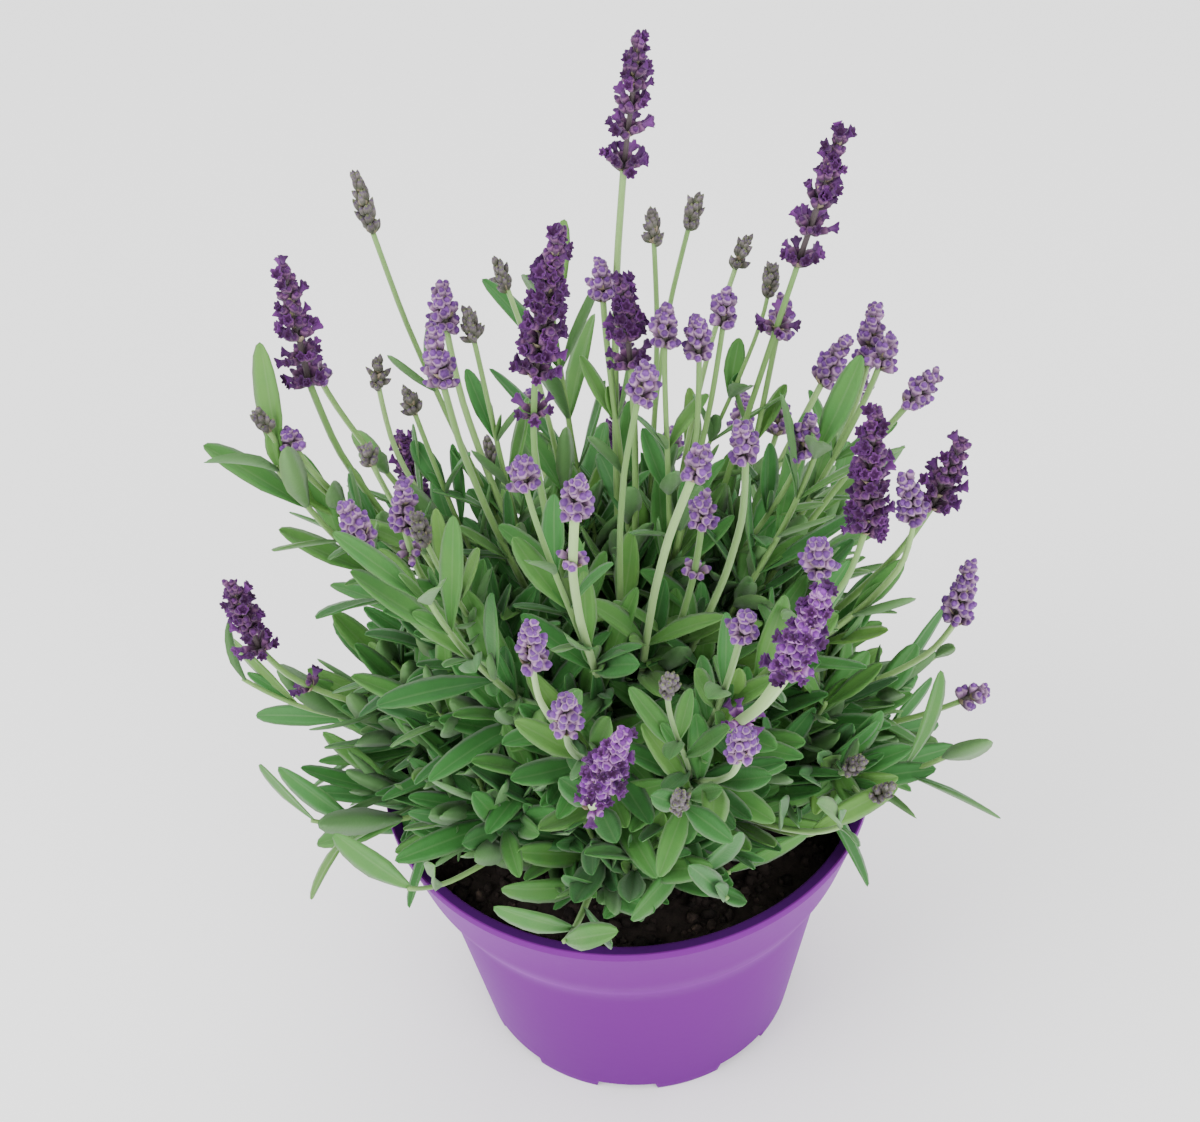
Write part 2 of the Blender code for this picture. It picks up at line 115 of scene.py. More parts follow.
def slicePoints(triangles, spot, heading):
    # where a triangle's edges cross the plane through spot that faces along heading
    sides = (triangles - spot) @ heading
    found = []
    for first, second in ((0, 1), (1, 2), (2, 0)):
        crossed = sides[:, first] * sides[:, second] < 0
        share = sides[crossed, first] / (sides[crossed, first] - sides[crossed, second])
        start, end = triangles[crossed, first], triangles[crossed, second]
        found.append(start + share[:, None] * (end - start))
    return np.concatenate(found)


def evenly(path, rows):
    # the path again, with its points at equal steps of its length
    steps = np.concatenate([[0.0], np.cumsum(np.linalg.norm(np.diff(path, axis=0), axis=1))])
    wanted = np.linspace(0, steps[-1], rows)
    return np.stack([np.interp(wanted, steps, path[:, axis]) for axis in range(3)], axis=1)


def stemOf(name, foot=None):
    # climbs the stem of a CAD node from the crown, slice by slice, to the foot of its flower head
    triangles = trianglesOf(name)
    points = triangles.reshape(-1, 3)
    nearest = points[np.linalg.norm(points - crownHeart, axis=1).argmin()]
    lowest = points[np.linalg.norm(points - nearest, axis=1) < trace["start"]]
    start = np.unique(lowest.round(6), axis=0).mean(axis=0)
    heading = unit(start - crownHeart)
    path = [start]
    for _ in range(trace["mostSteps"]):
        ahead = path[-1] + heading * trace["step"]
        if foot is not None:
            left = foot - ahead
            if left @ heading < trace["step"] and np.linalg.norm(left) < trace["end"]:
                break
        found = slicePoints(triangles, ahead, heading)
        near = found[np.linalg.norm(found - ahead, axis=1) < trace["reach"]] if len(found) else found
        if len(near) < trace["fewest"]:
            break
        shift = near.mean(axis=0) - ahead
        middle = ahead + shift * min(1.0, trace["shift"] / max(np.linalg.norm(shift), 1e-9))
        heading = unit(trace["keep"] * heading + trace["turn"] * unit(middle - path[-1]))
        path.append(middle)
    if foot is not None:
        path.append(foot)
    path = np.array(path)
    for _ in range(trace["smoothings"]):
        path[1:-1] = (path[:-2] + 2 * path[1:-1] + path[2:]) / 4
    return evenly(path, trace["rows"])


headTrace = {
    "outward": 0.37,        # a head's tip is the highest point, counting this share of its way out
    "near": 0.013,          # the points this near to the tip give the head's first direction,
    "spans": (0.011, 0.012, 0.013),     # and those down to here the better ones
    "thinnest": 0.00145,    # how far from its middle a head's points stand, at least and at most
    "thickest": 0.0095,
    "gap": 0.0078,          # a longer gap between them is below the head's foot
}


def headOf(name):
    # the foot, the direction and the length of a CAD node's flower head, from its outermost point down
    points = np.unique(trianglesOf(name).reshape(-1, 3).round(6), axis=0)
    tip = points[(points[:, 2] + headTrace["outward"] * np.linalg.norm(points[:, :2], axis=1)).argmax()]

    def belowAndAside(direction):
        below = (tip - points) @ direction
        return below, np.linalg.norm(points - tip + below[:, None] * direction, axis=1)

    direction = unit(tip - points[np.linalg.norm(points - tip, axis=1) < headTrace["near"]].mean(axis=0))
    for span in headTrace["spans"]:
        below, aside = belowAndAside(direction)
        direction = unit(tip - points[(below < span) & (aside < headTrace["thickest"])].mean(axis=0))
    below, aside = belowAndAside(direction)
    inHead = (aside > headTrace["thinnest"]) & (aside < headTrace["thickest"]) & (below > 0)
    wide = np.sort(below[inHead])
    gaps = np.flatnonzero(np.diff(wide) > headTrace["gap"])
    length = wide[gaps[0]] if len(gaps) else wide[-1]
    return tip - direction * length, direction, float(length)


latticeCells = 16           # the smooth random values repeat after this many cells
latticeStart = 100.37       # keeps every place on the lattice above zero


def cloud(points, size, seed):
    # smooth random values from -1 to 1: numbers on a lattice of this size, blended between its corners
    lattice = np.random.default_rng(seed).uniform(-1, 1, (latticeCells,) * 3)
    cell = points / size + latticeStart
    low = np.floor(cell).astype(int)
    share = (cell - low) ** 2 * (3 - 2 * (cell - low))
    total = np.zeros(points.shape[:-1])
    for corner in np.ndindex(2, 2, 2):
        weight = np.prod(np.where(corner, share, 1 - share), axis=-1)
        index = (low + corner) % latticeCells
        total += weight * lattice[index[..., 0], index[..., 1], index[..., 2]]
    return total


def closedTubes(rings, lowPole, highPole):
    # rings (tube, row, side, xyz) and two poles for each tube, as points, quads between the rings and
    # a fan of triangles round each pole
    count, rows, sides, _ = rings.shape
    block = rows * sides + 2
    body = rings.reshape(count, rows * sides, 3)
    points = np.concatenate([body, lowPole[:, None], highPole[:, None]], axis=1)
    row, side = np.meshgrid(np.arange(rows - 1), np.arange(sides), indexing="ij")
    here = row * sides + side
    after = row * sides + (side + 1) % sides
    quads = np.stack([here, after, after + sides, here + sides], -1).reshape(-1, 4)
    turn = np.arange(sides)
    turned = (turn + 1) % sides
    top = (rows - 1) * sides
    low = np.stack([turned, turn, np.full(sides, rows * sides)], -1)
    high = np.stack([top + turn, top + turned, np.full(sides, rows * sides + 1)], -1)
    fans = np.concatenate([low, high])
    offsets = np.arange(count)[:, None, None] * block
    return points.reshape(-1, 3), (quads + offsets).reshape(-1, 4), (fans + offsets).reshape(-1, 3)


class Growth:
    # collects closed tubes for one piece, with the three values that colour them: along runs up a
    # tube, across runs round it, and tone is one number for each tube
    def __init__(self):
        self.points, self.quads, self.fans, self.quadPaint, self.fanPaint = [], [], [], [], []
        self.values = {"along": [], "across": [], "tone": []}
        self.total = 0

    def add(self, rings, lowPole, highPole, paint, along, across, tone):
        count, rows, sides, _ = rings.shape
        points, quads, fans = closedTubes(rings, lowPole, highPole)
        self.points.append(points)
        self.quads.append(quads + self.total)
        self.fans.append(fans + self.total)
        self.quadPaint.append(np.full(len(quads), paint))
        self.fanPaint.append(np.full(len(fans), paint))
        self.total += len(points)
        grids = {"along": (np.reshape(along, (1, rows, 1)), (0.0, 1.0)),
                 "across": (np.reshape(across, (1, 1, sides)), (0.0, 0.0)),
                 "tone": (np.reshape(tone, (-1, 1, 1)), None)}
        for name, (grid, ends) in grids.items():
            body = np.broadcast_to(grid, (count, rows, sides)).reshape(count, -1)
            poles = body[:, :1].repeat(2, axis=1) if ends is None else np.tile(ends, (count, 1))
            self.values[name].append(np.concatenate([body, poles], axis=1).ravel())

    def piece(self, name, finishes):
        mesh = bpy.data.meshes.new(name)
        faces = np.concatenate(self.quads).tolist() + np.concatenate(self.fans).tolist()
        mesh.from_pydata(np.concatenate(self.points).tolist(), [], faces)
        paints = np.concatenate(self.quadPaint + self.fanPaint).astype(np.int32)
        mesh.polygons.foreach_set("material_index", paints)
        mesh.polygons.foreach_set("use_smooth", np.ones(len(faces), bool))
        for label, parts in self.values.items():
            layer = mesh.attributes.new(label, "FLOAT", "POINT")
            layer.data.foreach_set("value", np.concatenate(parts).astype(np.float32))
        for finish in finishes:
            mesh.materials.append(finish.material)
        mesh.update()
        piece = bpy.data.objects.new(name, mesh)
        bpy.context.scene.collection.objects.link(piece)
        return piece


def standsFor(piece, slot, *nodes):
    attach(piece, "root")
    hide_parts(*nodes)


def screen(red, green, blue):
    # a screen colour from 0 to 255 as the linear colour that a shader takes
    share = np.array([red, green, blue]) / 255
    linear = np.where(share <= 0.04045, share / 12.92, ((share + 0.055) / 1.055) ** 2.4)
    return (*linear.tolist(), 1.0)


class Finish:
    # a Principled material, and short ways to add nodes to it
    def __init__(self, name, roughness, **sockets):
        self.material = bpy.data.materials.new(name)
        self.material.use_nodes = True
        self.tree = self.material.node_tree
        self.shader = self.tree.nodes["Principled BSDF"]
        self.shader.inputs["Roughness"].default_value = roughness
        for socket, value in sockets.items():
            self.shader.inputs[socket.replace("_", " ")].default_value = value
        self.where = self.tree.nodes.new("ShaderNodeTexCoord").outputs["Object"]

    def put(self, node, socket, value):
        if isinstance(value, (int, float, tuple)):
            node.inputs[socket].default_value = value
        else:
            self.tree.links.new(value, node.inputs[socket])

    def value(self, name):
        node = self.tree.nodes.new("ShaderNodeAttribute")
        node.attribute_name = name
        return node.outputs["Fac"]

    def noise(self, scale, detail=3.0, roughness=0.55, stretch=None):
        node = self.tree.nodes.new("ShaderNodeTexNoise")
        where = self.where
        if stretch:
            mapping = self.tree.nodes.new("ShaderNodeMapping")
            mapping.inputs["Scale"].default_value = stretch
            self.put(mapping, "Vector", where)
            where = mapping.outputs["Vector"]
        self.put(node, "Vector", where)
        node.inputs["Scale"].default_value = scale
        node.inputs["Detail"].default_value = detail
        node.inputs["Roughness"].default_value = roughness
        return node.outputs["Fac"]

    def ramp(self, source, *stops):
        node = self.tree.nodes.new("ShaderNodeValToRGB")
        elements = node.color_ramp.elements
        while len(elements) < len(stops):
            elements.new(0.5)
        for element, (place, colour) in zip(elements, stops):
            element.position = place
            element.color = colour if isinstance(colour, tuple) else (colour, colour, colour, 1.0)
        self.put(node, "Fac", source)
        return node.outputs["Color"]

    def mix(self, amount, first, second, blend="MIX"):
        node = self.tree.nodes.new("ShaderNodeMix")
        node.data_type = "RGBA"
        node.blend_type = blend
        self.put(node, 0, amount)
        self.put(node, 6, first)
        self.put(node, 7, second)
        return node.outputs[2]

    def sums(self, kind, first, second):
        node = self.tree.nodes.new("ShaderNodeMath")
        node.operation = kind
        self.put(node, 0, first)
        self.put(node, 1, second)
        return node.outputs[0]

    def colour(self, source):
        self.put(self.shader, "Base Color", source)

    def bump(self, source, strength, distance):
        node = self.tree.nodes.new("ShaderNodeBump")
        node.inputs["Strength"].default_value = strength
        node.inputs["Distance"].default_value = distance
        self.put(node, "Height", source)
        self.put(self.shader, "Normal", node.outputs["Normal"])


leafPaint = {
    "deep": screen(30, 74, 34),
    "middle": screen(50, 108, 46),
    "light": screen(92, 134, 58),
    "under": screen(78, 118, 68),
    "edge": screen(122, 152, 104),
    "stem": screen(90, 130, 62),
    "stemLow": screen(66, 100, 46),
    "stemPale": screen(158, 192, 122),
    "roughness": 0.55,
}


def leafFinish():
    # greens from a tone for each leaf and a fine blotch, paler on the midrib, at the edge and below
    made = Finish("leaf_surface", leafPaint["roughness"], Specular_IOR_Level=0.25, Sheen_Weight=0.12,
                  Sheen_Roughness=0.5)
    tone = made.value("tone")
    across = made.value("across")
    blotch = made.noise(90.0, 3.0)
    shade = made.sums("ADD", made.sums("MULTIPLY", tone, 0.8), made.sums("MULTIPLY", blotch, 0.3))
    blade = made.ramp(shade, (0.12, leafPaint["deep"]), (0.55, leafPaint["middle"]),
                      (1.0, leafPaint["light"]))
    rib = made.ramp(across, (0.0, 1.0), (0.12, 0.0))
    blade = made.mix(made.sums("MULTIPLY", rib, 0.22), blade, leafPaint["edge"])
    rim = made.ramp(across, (0.80, 0.0), (0.98, 1.0))
    blade = made.mix(made.sums("MULTIPLY", rim, 0.35), blade, leafPaint["edge"])
    under = made.ramp(made.sums("SUBTRACT", across, 1.0), (0.05, 0.0), (0.25, 1.0))
    blade = made.mix(made.sums("MULTIPLY", under, 0.55), blade, leafPaint["under"])
    made.colour(blade)
    made.bump(made.noise(900.0, 2.0), 0.25, 0.0004)
    return made


def stemFinish():
    # darker at the foot, and paler by the stem's own tone
    made = Finish("stem_surface", 0.55, Specular_IOR_Level=0.3, Sheen_Weight=0.2)
    along = made.value("along")
    blotch = made.noise(160.0, 3.0)
    share = made.sums("ADD", along, made.sums("MULTIPLY", made.sums("SUBTRACT", blotch, 0.5), 0.35))
    green = made.ramp(share, (0.15, leafPaint["stemLow"]), (0.6, leafPaint["stem"]))
    made.colour(made.mix(made.value("tone"), green, leafPaint["stemPale"]))
    return made


# a bud's colours: its foot, its belly, its rim, the petals that show in it, and its tip
budPaint = {
    "lilac": (screen(88, 84, 76), screen(112, 80, 116), screen(152, 120, 150),
              screen(84, 42, 110), screen(104, 58, 130)),
    "open": (screen(66, 56, 58), screen(70, 36, 72), screen(104, 66, 102),
             screen(58, 17, 70), screen(78, 30, 90)),
    "young": (screen(74, 86, 50), screen(79, 77, 70), screen(101, 95, 92),
              screen(84, 68, 94), screen(98, 112, 54)),
    "bright": (screen(98, 62, 98), screen(112, 46, 128), screen(160, 112, 166),
               screen(86, 26, 112), screen(116, 50, 140)),
}


def budFinish(kind):
    # a bud's calyx from its foot to its pale hairy rim, then the petals that show inside it
    foot, belly, rim, petals, tip = budPaint[kind]
    made = Finish(kind + "_bud_surface", 0.6, Specular_IOR_Level=0.2, Sheen_Weight=0.1)
    along = made.value("along")
    tone = made.value("tone")
    body = made.ramp(along, (0.1, foot), (0.5, belly), (0.72, rim), (0.80, petals), (1.0, tip))
    ribs = made.ramp(made.value("across"), (0.0, 0.78), (1.0, 1.12))
    body = made.mix(0.8, body, ribs, "MULTIPLY")
    made.colour(made.mix(1.0, body, made.ramp(tone, (0.0, 0.62), (1.0, 1.25)), "MULTIPLY"))
    return made


petalPaint = {
    "deep": screen(52, 15, 64),
    "middle": screen(70, 23, 86),
    "light": screen(100, 44, 116),
    "throat": screen(50, 10, 52),
    "tube": screen(112, 74, 122),
}


def petalFinish():
    # violet by the flower's tone, paler on its tube and darker in its throat; along is 0.1 at the
    # tube's foot, 0.8 at the petals' edge and above that in the throat
    made = Finish("petal_surface", 0.55, Specular_IOR_Level=0.2, Sheen_Weight=0.08)
    colour = made.ramp(made.value("tone"), (0.0, petalPaint["deep"]), (0.5, petalPaint["middle"]),
                       (1.0, petalPaint["light"]))
    inside = made.ramp(made.value("along"), (0.80, 0.0), (0.92, 1.0))
    colour = made.mix(made.sums("MULTIPLY", inside, 0.8), colour, petalPaint["throat"])
    tube = made.ramp(made.value("along"), (0.1, 0.7), (0.5, 0.0))
    made.colour(made.mix(tube, colour, petalPaint["tube"]))
    return made


def bractFinish():
    # brown to buff by the bract's tone
    made = Finish("bract_surface", 0.7)
    made.colour(made.ramp(made.value("tone"), (0.0, screen(96, 92, 70)), (1.0, screen(140, 124, 104))))
    return made


def framesAlong(paths):
    # for paths (path, row, xyz): the way forward and two directions across it, carried on without twist
    forward = unit(np.gradient(paths, axis=1))
    carried = np.cross(forward[:, 0], askew)
    side = np.empty_like(paths)
    for row in range(paths.shape[1]):
        ahead = forward[:, row]
        carried = unit(carried - ahead * np.sum(carried * ahead, axis=-1, keepdims=True))
        side[:, row] = carried
    return forward, side, np.cross(forward, side)


stemLook = {
    "sides": 8,
    "corners": 4,           # lavender stems are square
    "square": 0.1,          # how far the corners stand out, as a share of the radius
    "cap": 0.4,             # how far the rounded ends stand out, also as a share of it
}


def turnsOf(count):
    # this many equal steps round a circle
    return np.arange(count) * 2 * math.pi / count


def addStems(growth, paths, radii, paint, tone=0.25):
    # a round stem of this radius along each path, drawn out at its corners by a cosine of the turn
    forward, side, lift = framesAlong(paths)
    turns = turnsOf(stemLook["sides"])
    swell = 1 + stemLook["square"] * np.cos(stemLook["corners"] * turns)
    around = np.cos(turns)[:, None] * side[:, :, None] + np.sin(turns)[:, None] * lift[:, :, None]
    rings = paths[:, :, None] + around * (radii[..., None] * swell)[..., None]
    caps = radii[:, [0, -1]] * stemLook["cap"]
    low = paths[:, 0] - forward[:, 0] * caps[:, :1]
    high = paths[:, -1] + forward[:, -1] * caps[:, 1:]
    across = 0.5 + 0.5 * np.cos(stemLook["corners"] * turns)
    growth.add(rings, low, high, paint, np.linspace(0, 1, paths.shape[1]), across, tone)


def hermite(start, away, end, up, rows, pull=0.8, bow=None):
    # a cubic curve from start to end that leaves along away and arrives along up
    share = np.linspace(0, 1, rows)[None, :, None]
    reach = np.linalg.norm(end - start, axis=1)[:, None, None] * pull
    curve = (2 * share**3 - 3 * share**2 + 1) * start[:, None]
    curve = curve + (3 * share**2 - 2 * share**3) * end[:, None]
    curve = curve + (share**3 - 2 * share**2 + share) * reach * away[:, None]
    curve = curve + (share**3 - share**2) * reach * up[:, None]
    if bow is not None:
        curve = curve + bow[:, None] * np.sin(math.pi * share) ** 2
    return curve


leafLook = {
    "length": 0.0410,
    "width": 0.0091,
    "rows": (0.0, 0.09, 0.24, 0.42, 0.60, 0.77, 0.90, 0.98),
    # places across the blade, round its edge and back, and how far each stands out, as shares of
    # the half width; the last row is the value that colours each
    "section": (0.0, 0.5, 1.0, 0.0, -1.0, -0.5),
    "heights": (-0.03, 0.13, 0.02, -0.17, 0.02, 0.13),
    "painted": (0.0, 0.5, 1.0, 2.0, 1.0, 0.5),
    "fold": 0.16,           # how far the two halves rise from the midrib
    "thin": 0.00012,        # added to the thickness everywhere
    "lead": 0.9,            # the outline is widest before the middle as this falls below 1,
    "blunt": 2.4,           # and its ends get blunter as this grows
    "neck": 0.25,           # its share of the width at the foot, which grows to the whole
    "neckEnd": 0.45,        # at this share of the length
    "foot": 0.16,           # a foot that holds on to the stem, as a share of the width
    "sunken": 0.0003,       # how far the foot is in the stem
    "tip": 0.022,           # the tip stands this share of the length past the last row
}


def addLeaves(growth, base, along, top, length, width, bend, twist, tone, paint=0):
    # leaves as closed blades: the midrib is an arc that droops by bend, the outline swells from a
    # narrow foot to a blunt tip, and the section is a shallow V with a sunken midrib
    rows = np.array(leafLook["rows"])
    arc = rows[None] * bend[:, None]
    safe = np.where(np.abs(bend) < 1e-3, 1e-3, bend)[:, None]
    ahead = np.sin(safe * rows) / safe
    down = (1 - np.cos(safe * rows)) / safe
    arch = ahead[..., None] * along[:, None] - down[..., None] * top[:, None]
    middle = base[:, None] + length[:, None, None] * arch
    normal = np.cos(arc)[..., None] * top[:, None] + np.sin(arc)[..., None] * along[:, None]
    side = unit(np.cross(along, top))
    turned = twist[:, None] * rows[None]
    across = np.cos(turned)[..., None] * side[:, None] + np.sin(turned)[..., None] * normal
    normal = np.cos(turned)[..., None] * normal - np.sin(turned)[..., None] * side[:, None]
    oval = np.sqrt(np.clip(1 - np.abs(2 * rows ** leafLook["lead"] - 1) ** leafLook["blunt"], 0, 1))
    neck = leafLook["neck"] + (1 - leafLook["neck"]) * np.minimum(1, rows / leafLook["neckEnd"])
    outline = oval * neck + leafLook["foot"] * (1 - rows) ** 3
    half = 0.5 * width[:, None] * outline[None]
    places = np.array(leafLook["section"])
    heights = np.array(leafLook["heights"]) + leafLook["fold"] * np.abs(places)
    thin = np.sign(leafLook["heights"]) * leafLook["thin"]
    rings = middle[:, :, None] + across[:, :, None] * (half[..., None] * places)[..., None]
    rings = rings + normal[:, :, None] * (half[..., None] * heights + thin)[..., None]
    tipAhead = unit(np.cos(bend)[:, None] * along - np.sin(bend)[:, None] * top)
    low = base - along * leafLook["sunken"]
    high = middle[:, -1] + tipAhead * leafLook["tip"] * length[:, None]
    growth.add(rings[:, :, ::-1], low, high, paint, rows, np.array(leafLook["painted"])[::-1], tone)


def squarely(direction, near):
    # the part of near that stands square to direction
    return unit(near - direction * np.sum(direction * near, axis=-1, keepdims=True))


leafPairs = {
    "spacing": 0.0150,
    "spread": (30, 58),     # degrees between a leaf and the stem above it
    "bend": (-0.35, 0.55),
    "skyward": 0.45,        # how strongly the blades turn their faces up
    "closing": 0.35,        # how much less the leaves spread at the tip than at the foot
    "turn": 0.3,            # how unevenly the pairs stand round the stem
    "lengths": (0.78, 1.12),
    "widths": (0.8, 1.12),
    "slimming": 0.35,       # how much of the shortening towards the tip the width takes part in
    "bulk": 0.7,            # the width follows a leaf's size to this power
    "shades": 0.17,         # how much the tones differ, and how much lighter they are at the tip
    "lighter": 0.15,
    "twist": 0.25,
    "out": 0.0004,          # how far from the stem's middle a leaf begins
    "middle": 0.55,         # the share of its length where a leaf is checked, as well as its tip
    # small leaves in the corners between leaf and stem: how many of the leaves have one, and their
    # size, spread and width against the leaf's, with how unevenly they turn
    "axilShare": 0.3,
    "axilSize": 0.5,
    "axilLengths": (0.7, 1.3),
    "axilSpread": 0.6,
    "axilWidth": 0.62,
    "axilTurn": 0.5,
}


clearing = {
    # the open soil at the front: how near to the crown it begins at some turns round the pot, in
    # degrees from the front towards the right, and how steeply the leaves over it rise
    "turns": (-72, -60, -48, -36, -22, -14, -4, 18, 40, 60, 76),
    "radii": (0.140, 0.074, 0.060, 0.054, 0.060, 0.080, 0.064, 0.058, 0.055, 0.064, 0.140),
    "slope": 0.95,
    "overSoil": 0.003,      # the least height of a leaf over the soil and over the rim
    "overRim": 0.0015,
    "rimBand": 0.007,       # how far inside and outside the rim's radius counts as over it
    "hang": 0.020,          # how far below the rim a leaf may hang outside the pot
    "free": 55,             # the frame's shoots that end further round than this keep all their leaves
}


def lowestAllowed(points, clear=True):
    # the height that leaves keep above: the soil, the rim, and at the front a slope that leaves the
    # soil open between the leaves and the rim
    away = np.linalg.norm(points[..., :2], axis=-1)
    band = clearing["rimBand"]
    overSoil, overRim = soilTop + clearing["overSoil"], rimHeight + clearing["overRim"]
    lowest = np.where(away < rimRadius - band, overSoil, overRim)
    lowest = np.where(away > rimRadius + band, rimHeight - clearing["hang"], lowest)
    if not clear:
        return lowest
    turn = np.degrees(np.arctan2(points[..., 0], -points[..., 1]))
    begins = np.interp(turn, clearing["turns"], clearing["radii"], left=1.0, right=1.0)
    slope = soilTop + clearing["slope"] * (away - begins)
    return np.where(away > begins, np.maximum(lowest, slope), lowest)


def leafFits(base, along, top, length, bend, clear):
    # whether a leaf's middle and its tip stay inside the CAD box and above what is below them
    fits = np.ones(length.shape, bool)
    for share in (leafPairs["middle"], 1.0):
        reach = (length * share)[..., None]
        spot = base + along * reach - top * reach * share * (bend / 2)[..., None]
        fits &= (spot > np.array(cadBox[0])).all(axis=-1) & (spot < np.array(cadBox[1])).all(axis=-1)
        fits &= spot[..., 2] > lowestAllowed(spot, clear)
    return fits


def addLeafPairs(growth, paths, shares, draw, size=1.0, tip=0.7, tone=0.5, clear=True):
    # opposite leaves at each share of each path's length, each pair square to the last; they get
    # smaller towards the end, and small ones grow in some of their corners
    forward, side, lift = framesAlong(paths)
    rows = paths.shape[1]
    spots = shares * (rows - 1)
    low = np.clip(spots.astype(int), 0, rows - 2)
    blend = (spots - low)[:, None]
    each = np.arange(len(paths))[:, None]

    def between(values):
        return values[each, low[None]] * (1 - blend) + values[each, low[None] + 1] * blend

    centre, ahead = between(paths), unit(between(forward))
    across = squarely(ahead, between(side))
    other = np.cross(ahead, across)
    count, pairs = centre.shape[:2]
    quarter = (np.arange(pairs) * math.pi / 2)[None] + draw.uniform(0, math.pi, (count, 1))
    turns = np.stack([quarter, quarter + math.pi], axis=-1)
    turns = turns + draw.normal(0, leafPairs["turn"], (count, pairs, 2))
    progress = np.linspace(0, 1, pairs)[None, :, None]
    for kind in ("main", "axil"):
        turn = turns + (draw.normal(0, leafPairs["axilTurn"], turns.shape) if kind == "axil" else 0)
        out = np.cos(turn)[..., None] * across[:, :, None] + np.sin(turn)[..., None] * other[:, :, None]
        spread = np.radians(draw.uniform(*leafPairs["spread"], turn.shape))
        spread = spread * (1 - leafPairs["closing"] * progress)
        if kind == "axil":
            spread = spread * leafPairs["axilSpread"]
        along = np.cos(spread)[..., None] * ahead[:, :, None] + np.sin(spread)[..., None] * out
        top = np.sin(spread)[..., None] * ahead[:, :, None] - np.cos(spread)[..., None] * out
        top = squarely(along, top + leafPairs["skyward"] * upright)
        length = leafLook["length"] * size * (1 - (1 - tip) * progress**1.5)
        length = length * draw.uniform(*leafPairs["lengths"], turn.shape)
        width = leafLook["width"] * size ** leafPairs["bulk"]
        width = width * (1 - leafPairs["slimming"] * (1 - tip) * progress)
        width = width * draw.uniform(*leafPairs["widths"], turn.shape)
        kept = np.ones(turn.shape, bool)
        if kind == "axil":
            kept = draw.random(turn.shape) < leafPairs["axilShare"]
            length = length * leafPairs["axilSize"] * draw.uniform(*leafPairs["axilLengths"], turn.shape)
            width = width * leafPairs["axilWidth"]
        shades = tone + draw.normal(0, leafPairs["shades"], turn.shape) + leafPairs["lighter"] * progress
        shades = np.clip(shades, 0, 1)
        bend = draw.uniform(*leafPairs["bend"], turn.shape)
        base = centre[:, :, None] + out * leafPairs["out"]
        kept &= leafFits(base, along, top, length, bend, clear)
        if not kept.any():
            continue
        addLeaves(growth, base[kept], along[kept], top[kept], length[kept], width[kept], bend[kept],
                  draw.normal(0, leafPairs["twist"], turn.shape)[kept], shades[kept])


budShape = {
    # the way up a bud and its radius there; a rim, a step in, and the petals that stick out of it
    "closed": ((0.0, 0.30), (0.18, 0.62), (0.42, 0.95), (0.66, 1.0), (0.72, 1.02),
               (0.76, 0.74), (0.88, 0.62), (0.96, 0.34)),
    "young": ((0.0, 0.35), (0.2, 0.75), (0.45, 1.0), (0.66, 0.82), (0.82, 0.5), (0.95, 0.2)),
    "sides": 6,
    "ribs": 3,
    "uneven": 0.10,         # how far the ribs stand out, and how far a bud's tone turns them
    "ribTurn": 9,
    "sunken": 0.0002,
}


def addBuds(growth, base, along, length, radius, tone, paint, shape="closed"):
    # a bud's radius follows its shape from foot to tip, with ribs by a cosine of the turn
    profile = np.array(budShape[shape])
    rows, widths = profile[:, 0], profile[:, 1]
    axis = unit(squarely(along, np.broadcast_to(askew, along.shape)))
    other = np.cross(along, axis)
    turns = turnsOf(budShape["sides"])
    ribs = budShape["ribs"] * turns
    around = np.cos(turns)[None, :, None] * axis[:, None] + np.sin(turns)[None, :, None] * other[:, None]
    middle = base[:, None] + along[:, None] * (rows[None] * length[:, None])[..., None]
    ribbed = 1 + budShape["uneven"] * np.cos(ribs + budShape["ribTurn"] * tone[:, None])
    reach = radius[:, None, None] * widths[None, :, None] * ribbed[:, None]
    rings = middle[:, :, None] + around[:, None] * reach[..., None]
    low = base - along * budShape["sunken"]
    high = base + along * length[:, None]
    growth.add(rings, low, high, paint, rows, 0.5 + 0.5 * np.cos(ribs), tone)


flowerShape = {
    "size": 0.00086,
    # the way out of a flower, its radius there and how deeply its lobes are cut
    "rows": ((-1.0, 0.55, 0.0), (0.9, 1.20, 0.10), (2.1, 2.10, 0.34), (2.5, 2.25, 0.50), (1.3, 0.95, 0.1)),
    "lobes": 5,
    "lip": 0.9,             # how far the upper petals stand out over the lower ones
    "upper": 0.22,          # and how much wider they are
    "curl": 0.25,
    "ragged": 0.08,         # how unevenly the petals end
    "tilt": 0.15,
    "along": (0.1, 0.4, 0.6, 0.8, 0.95),    # the value that colours each row
}


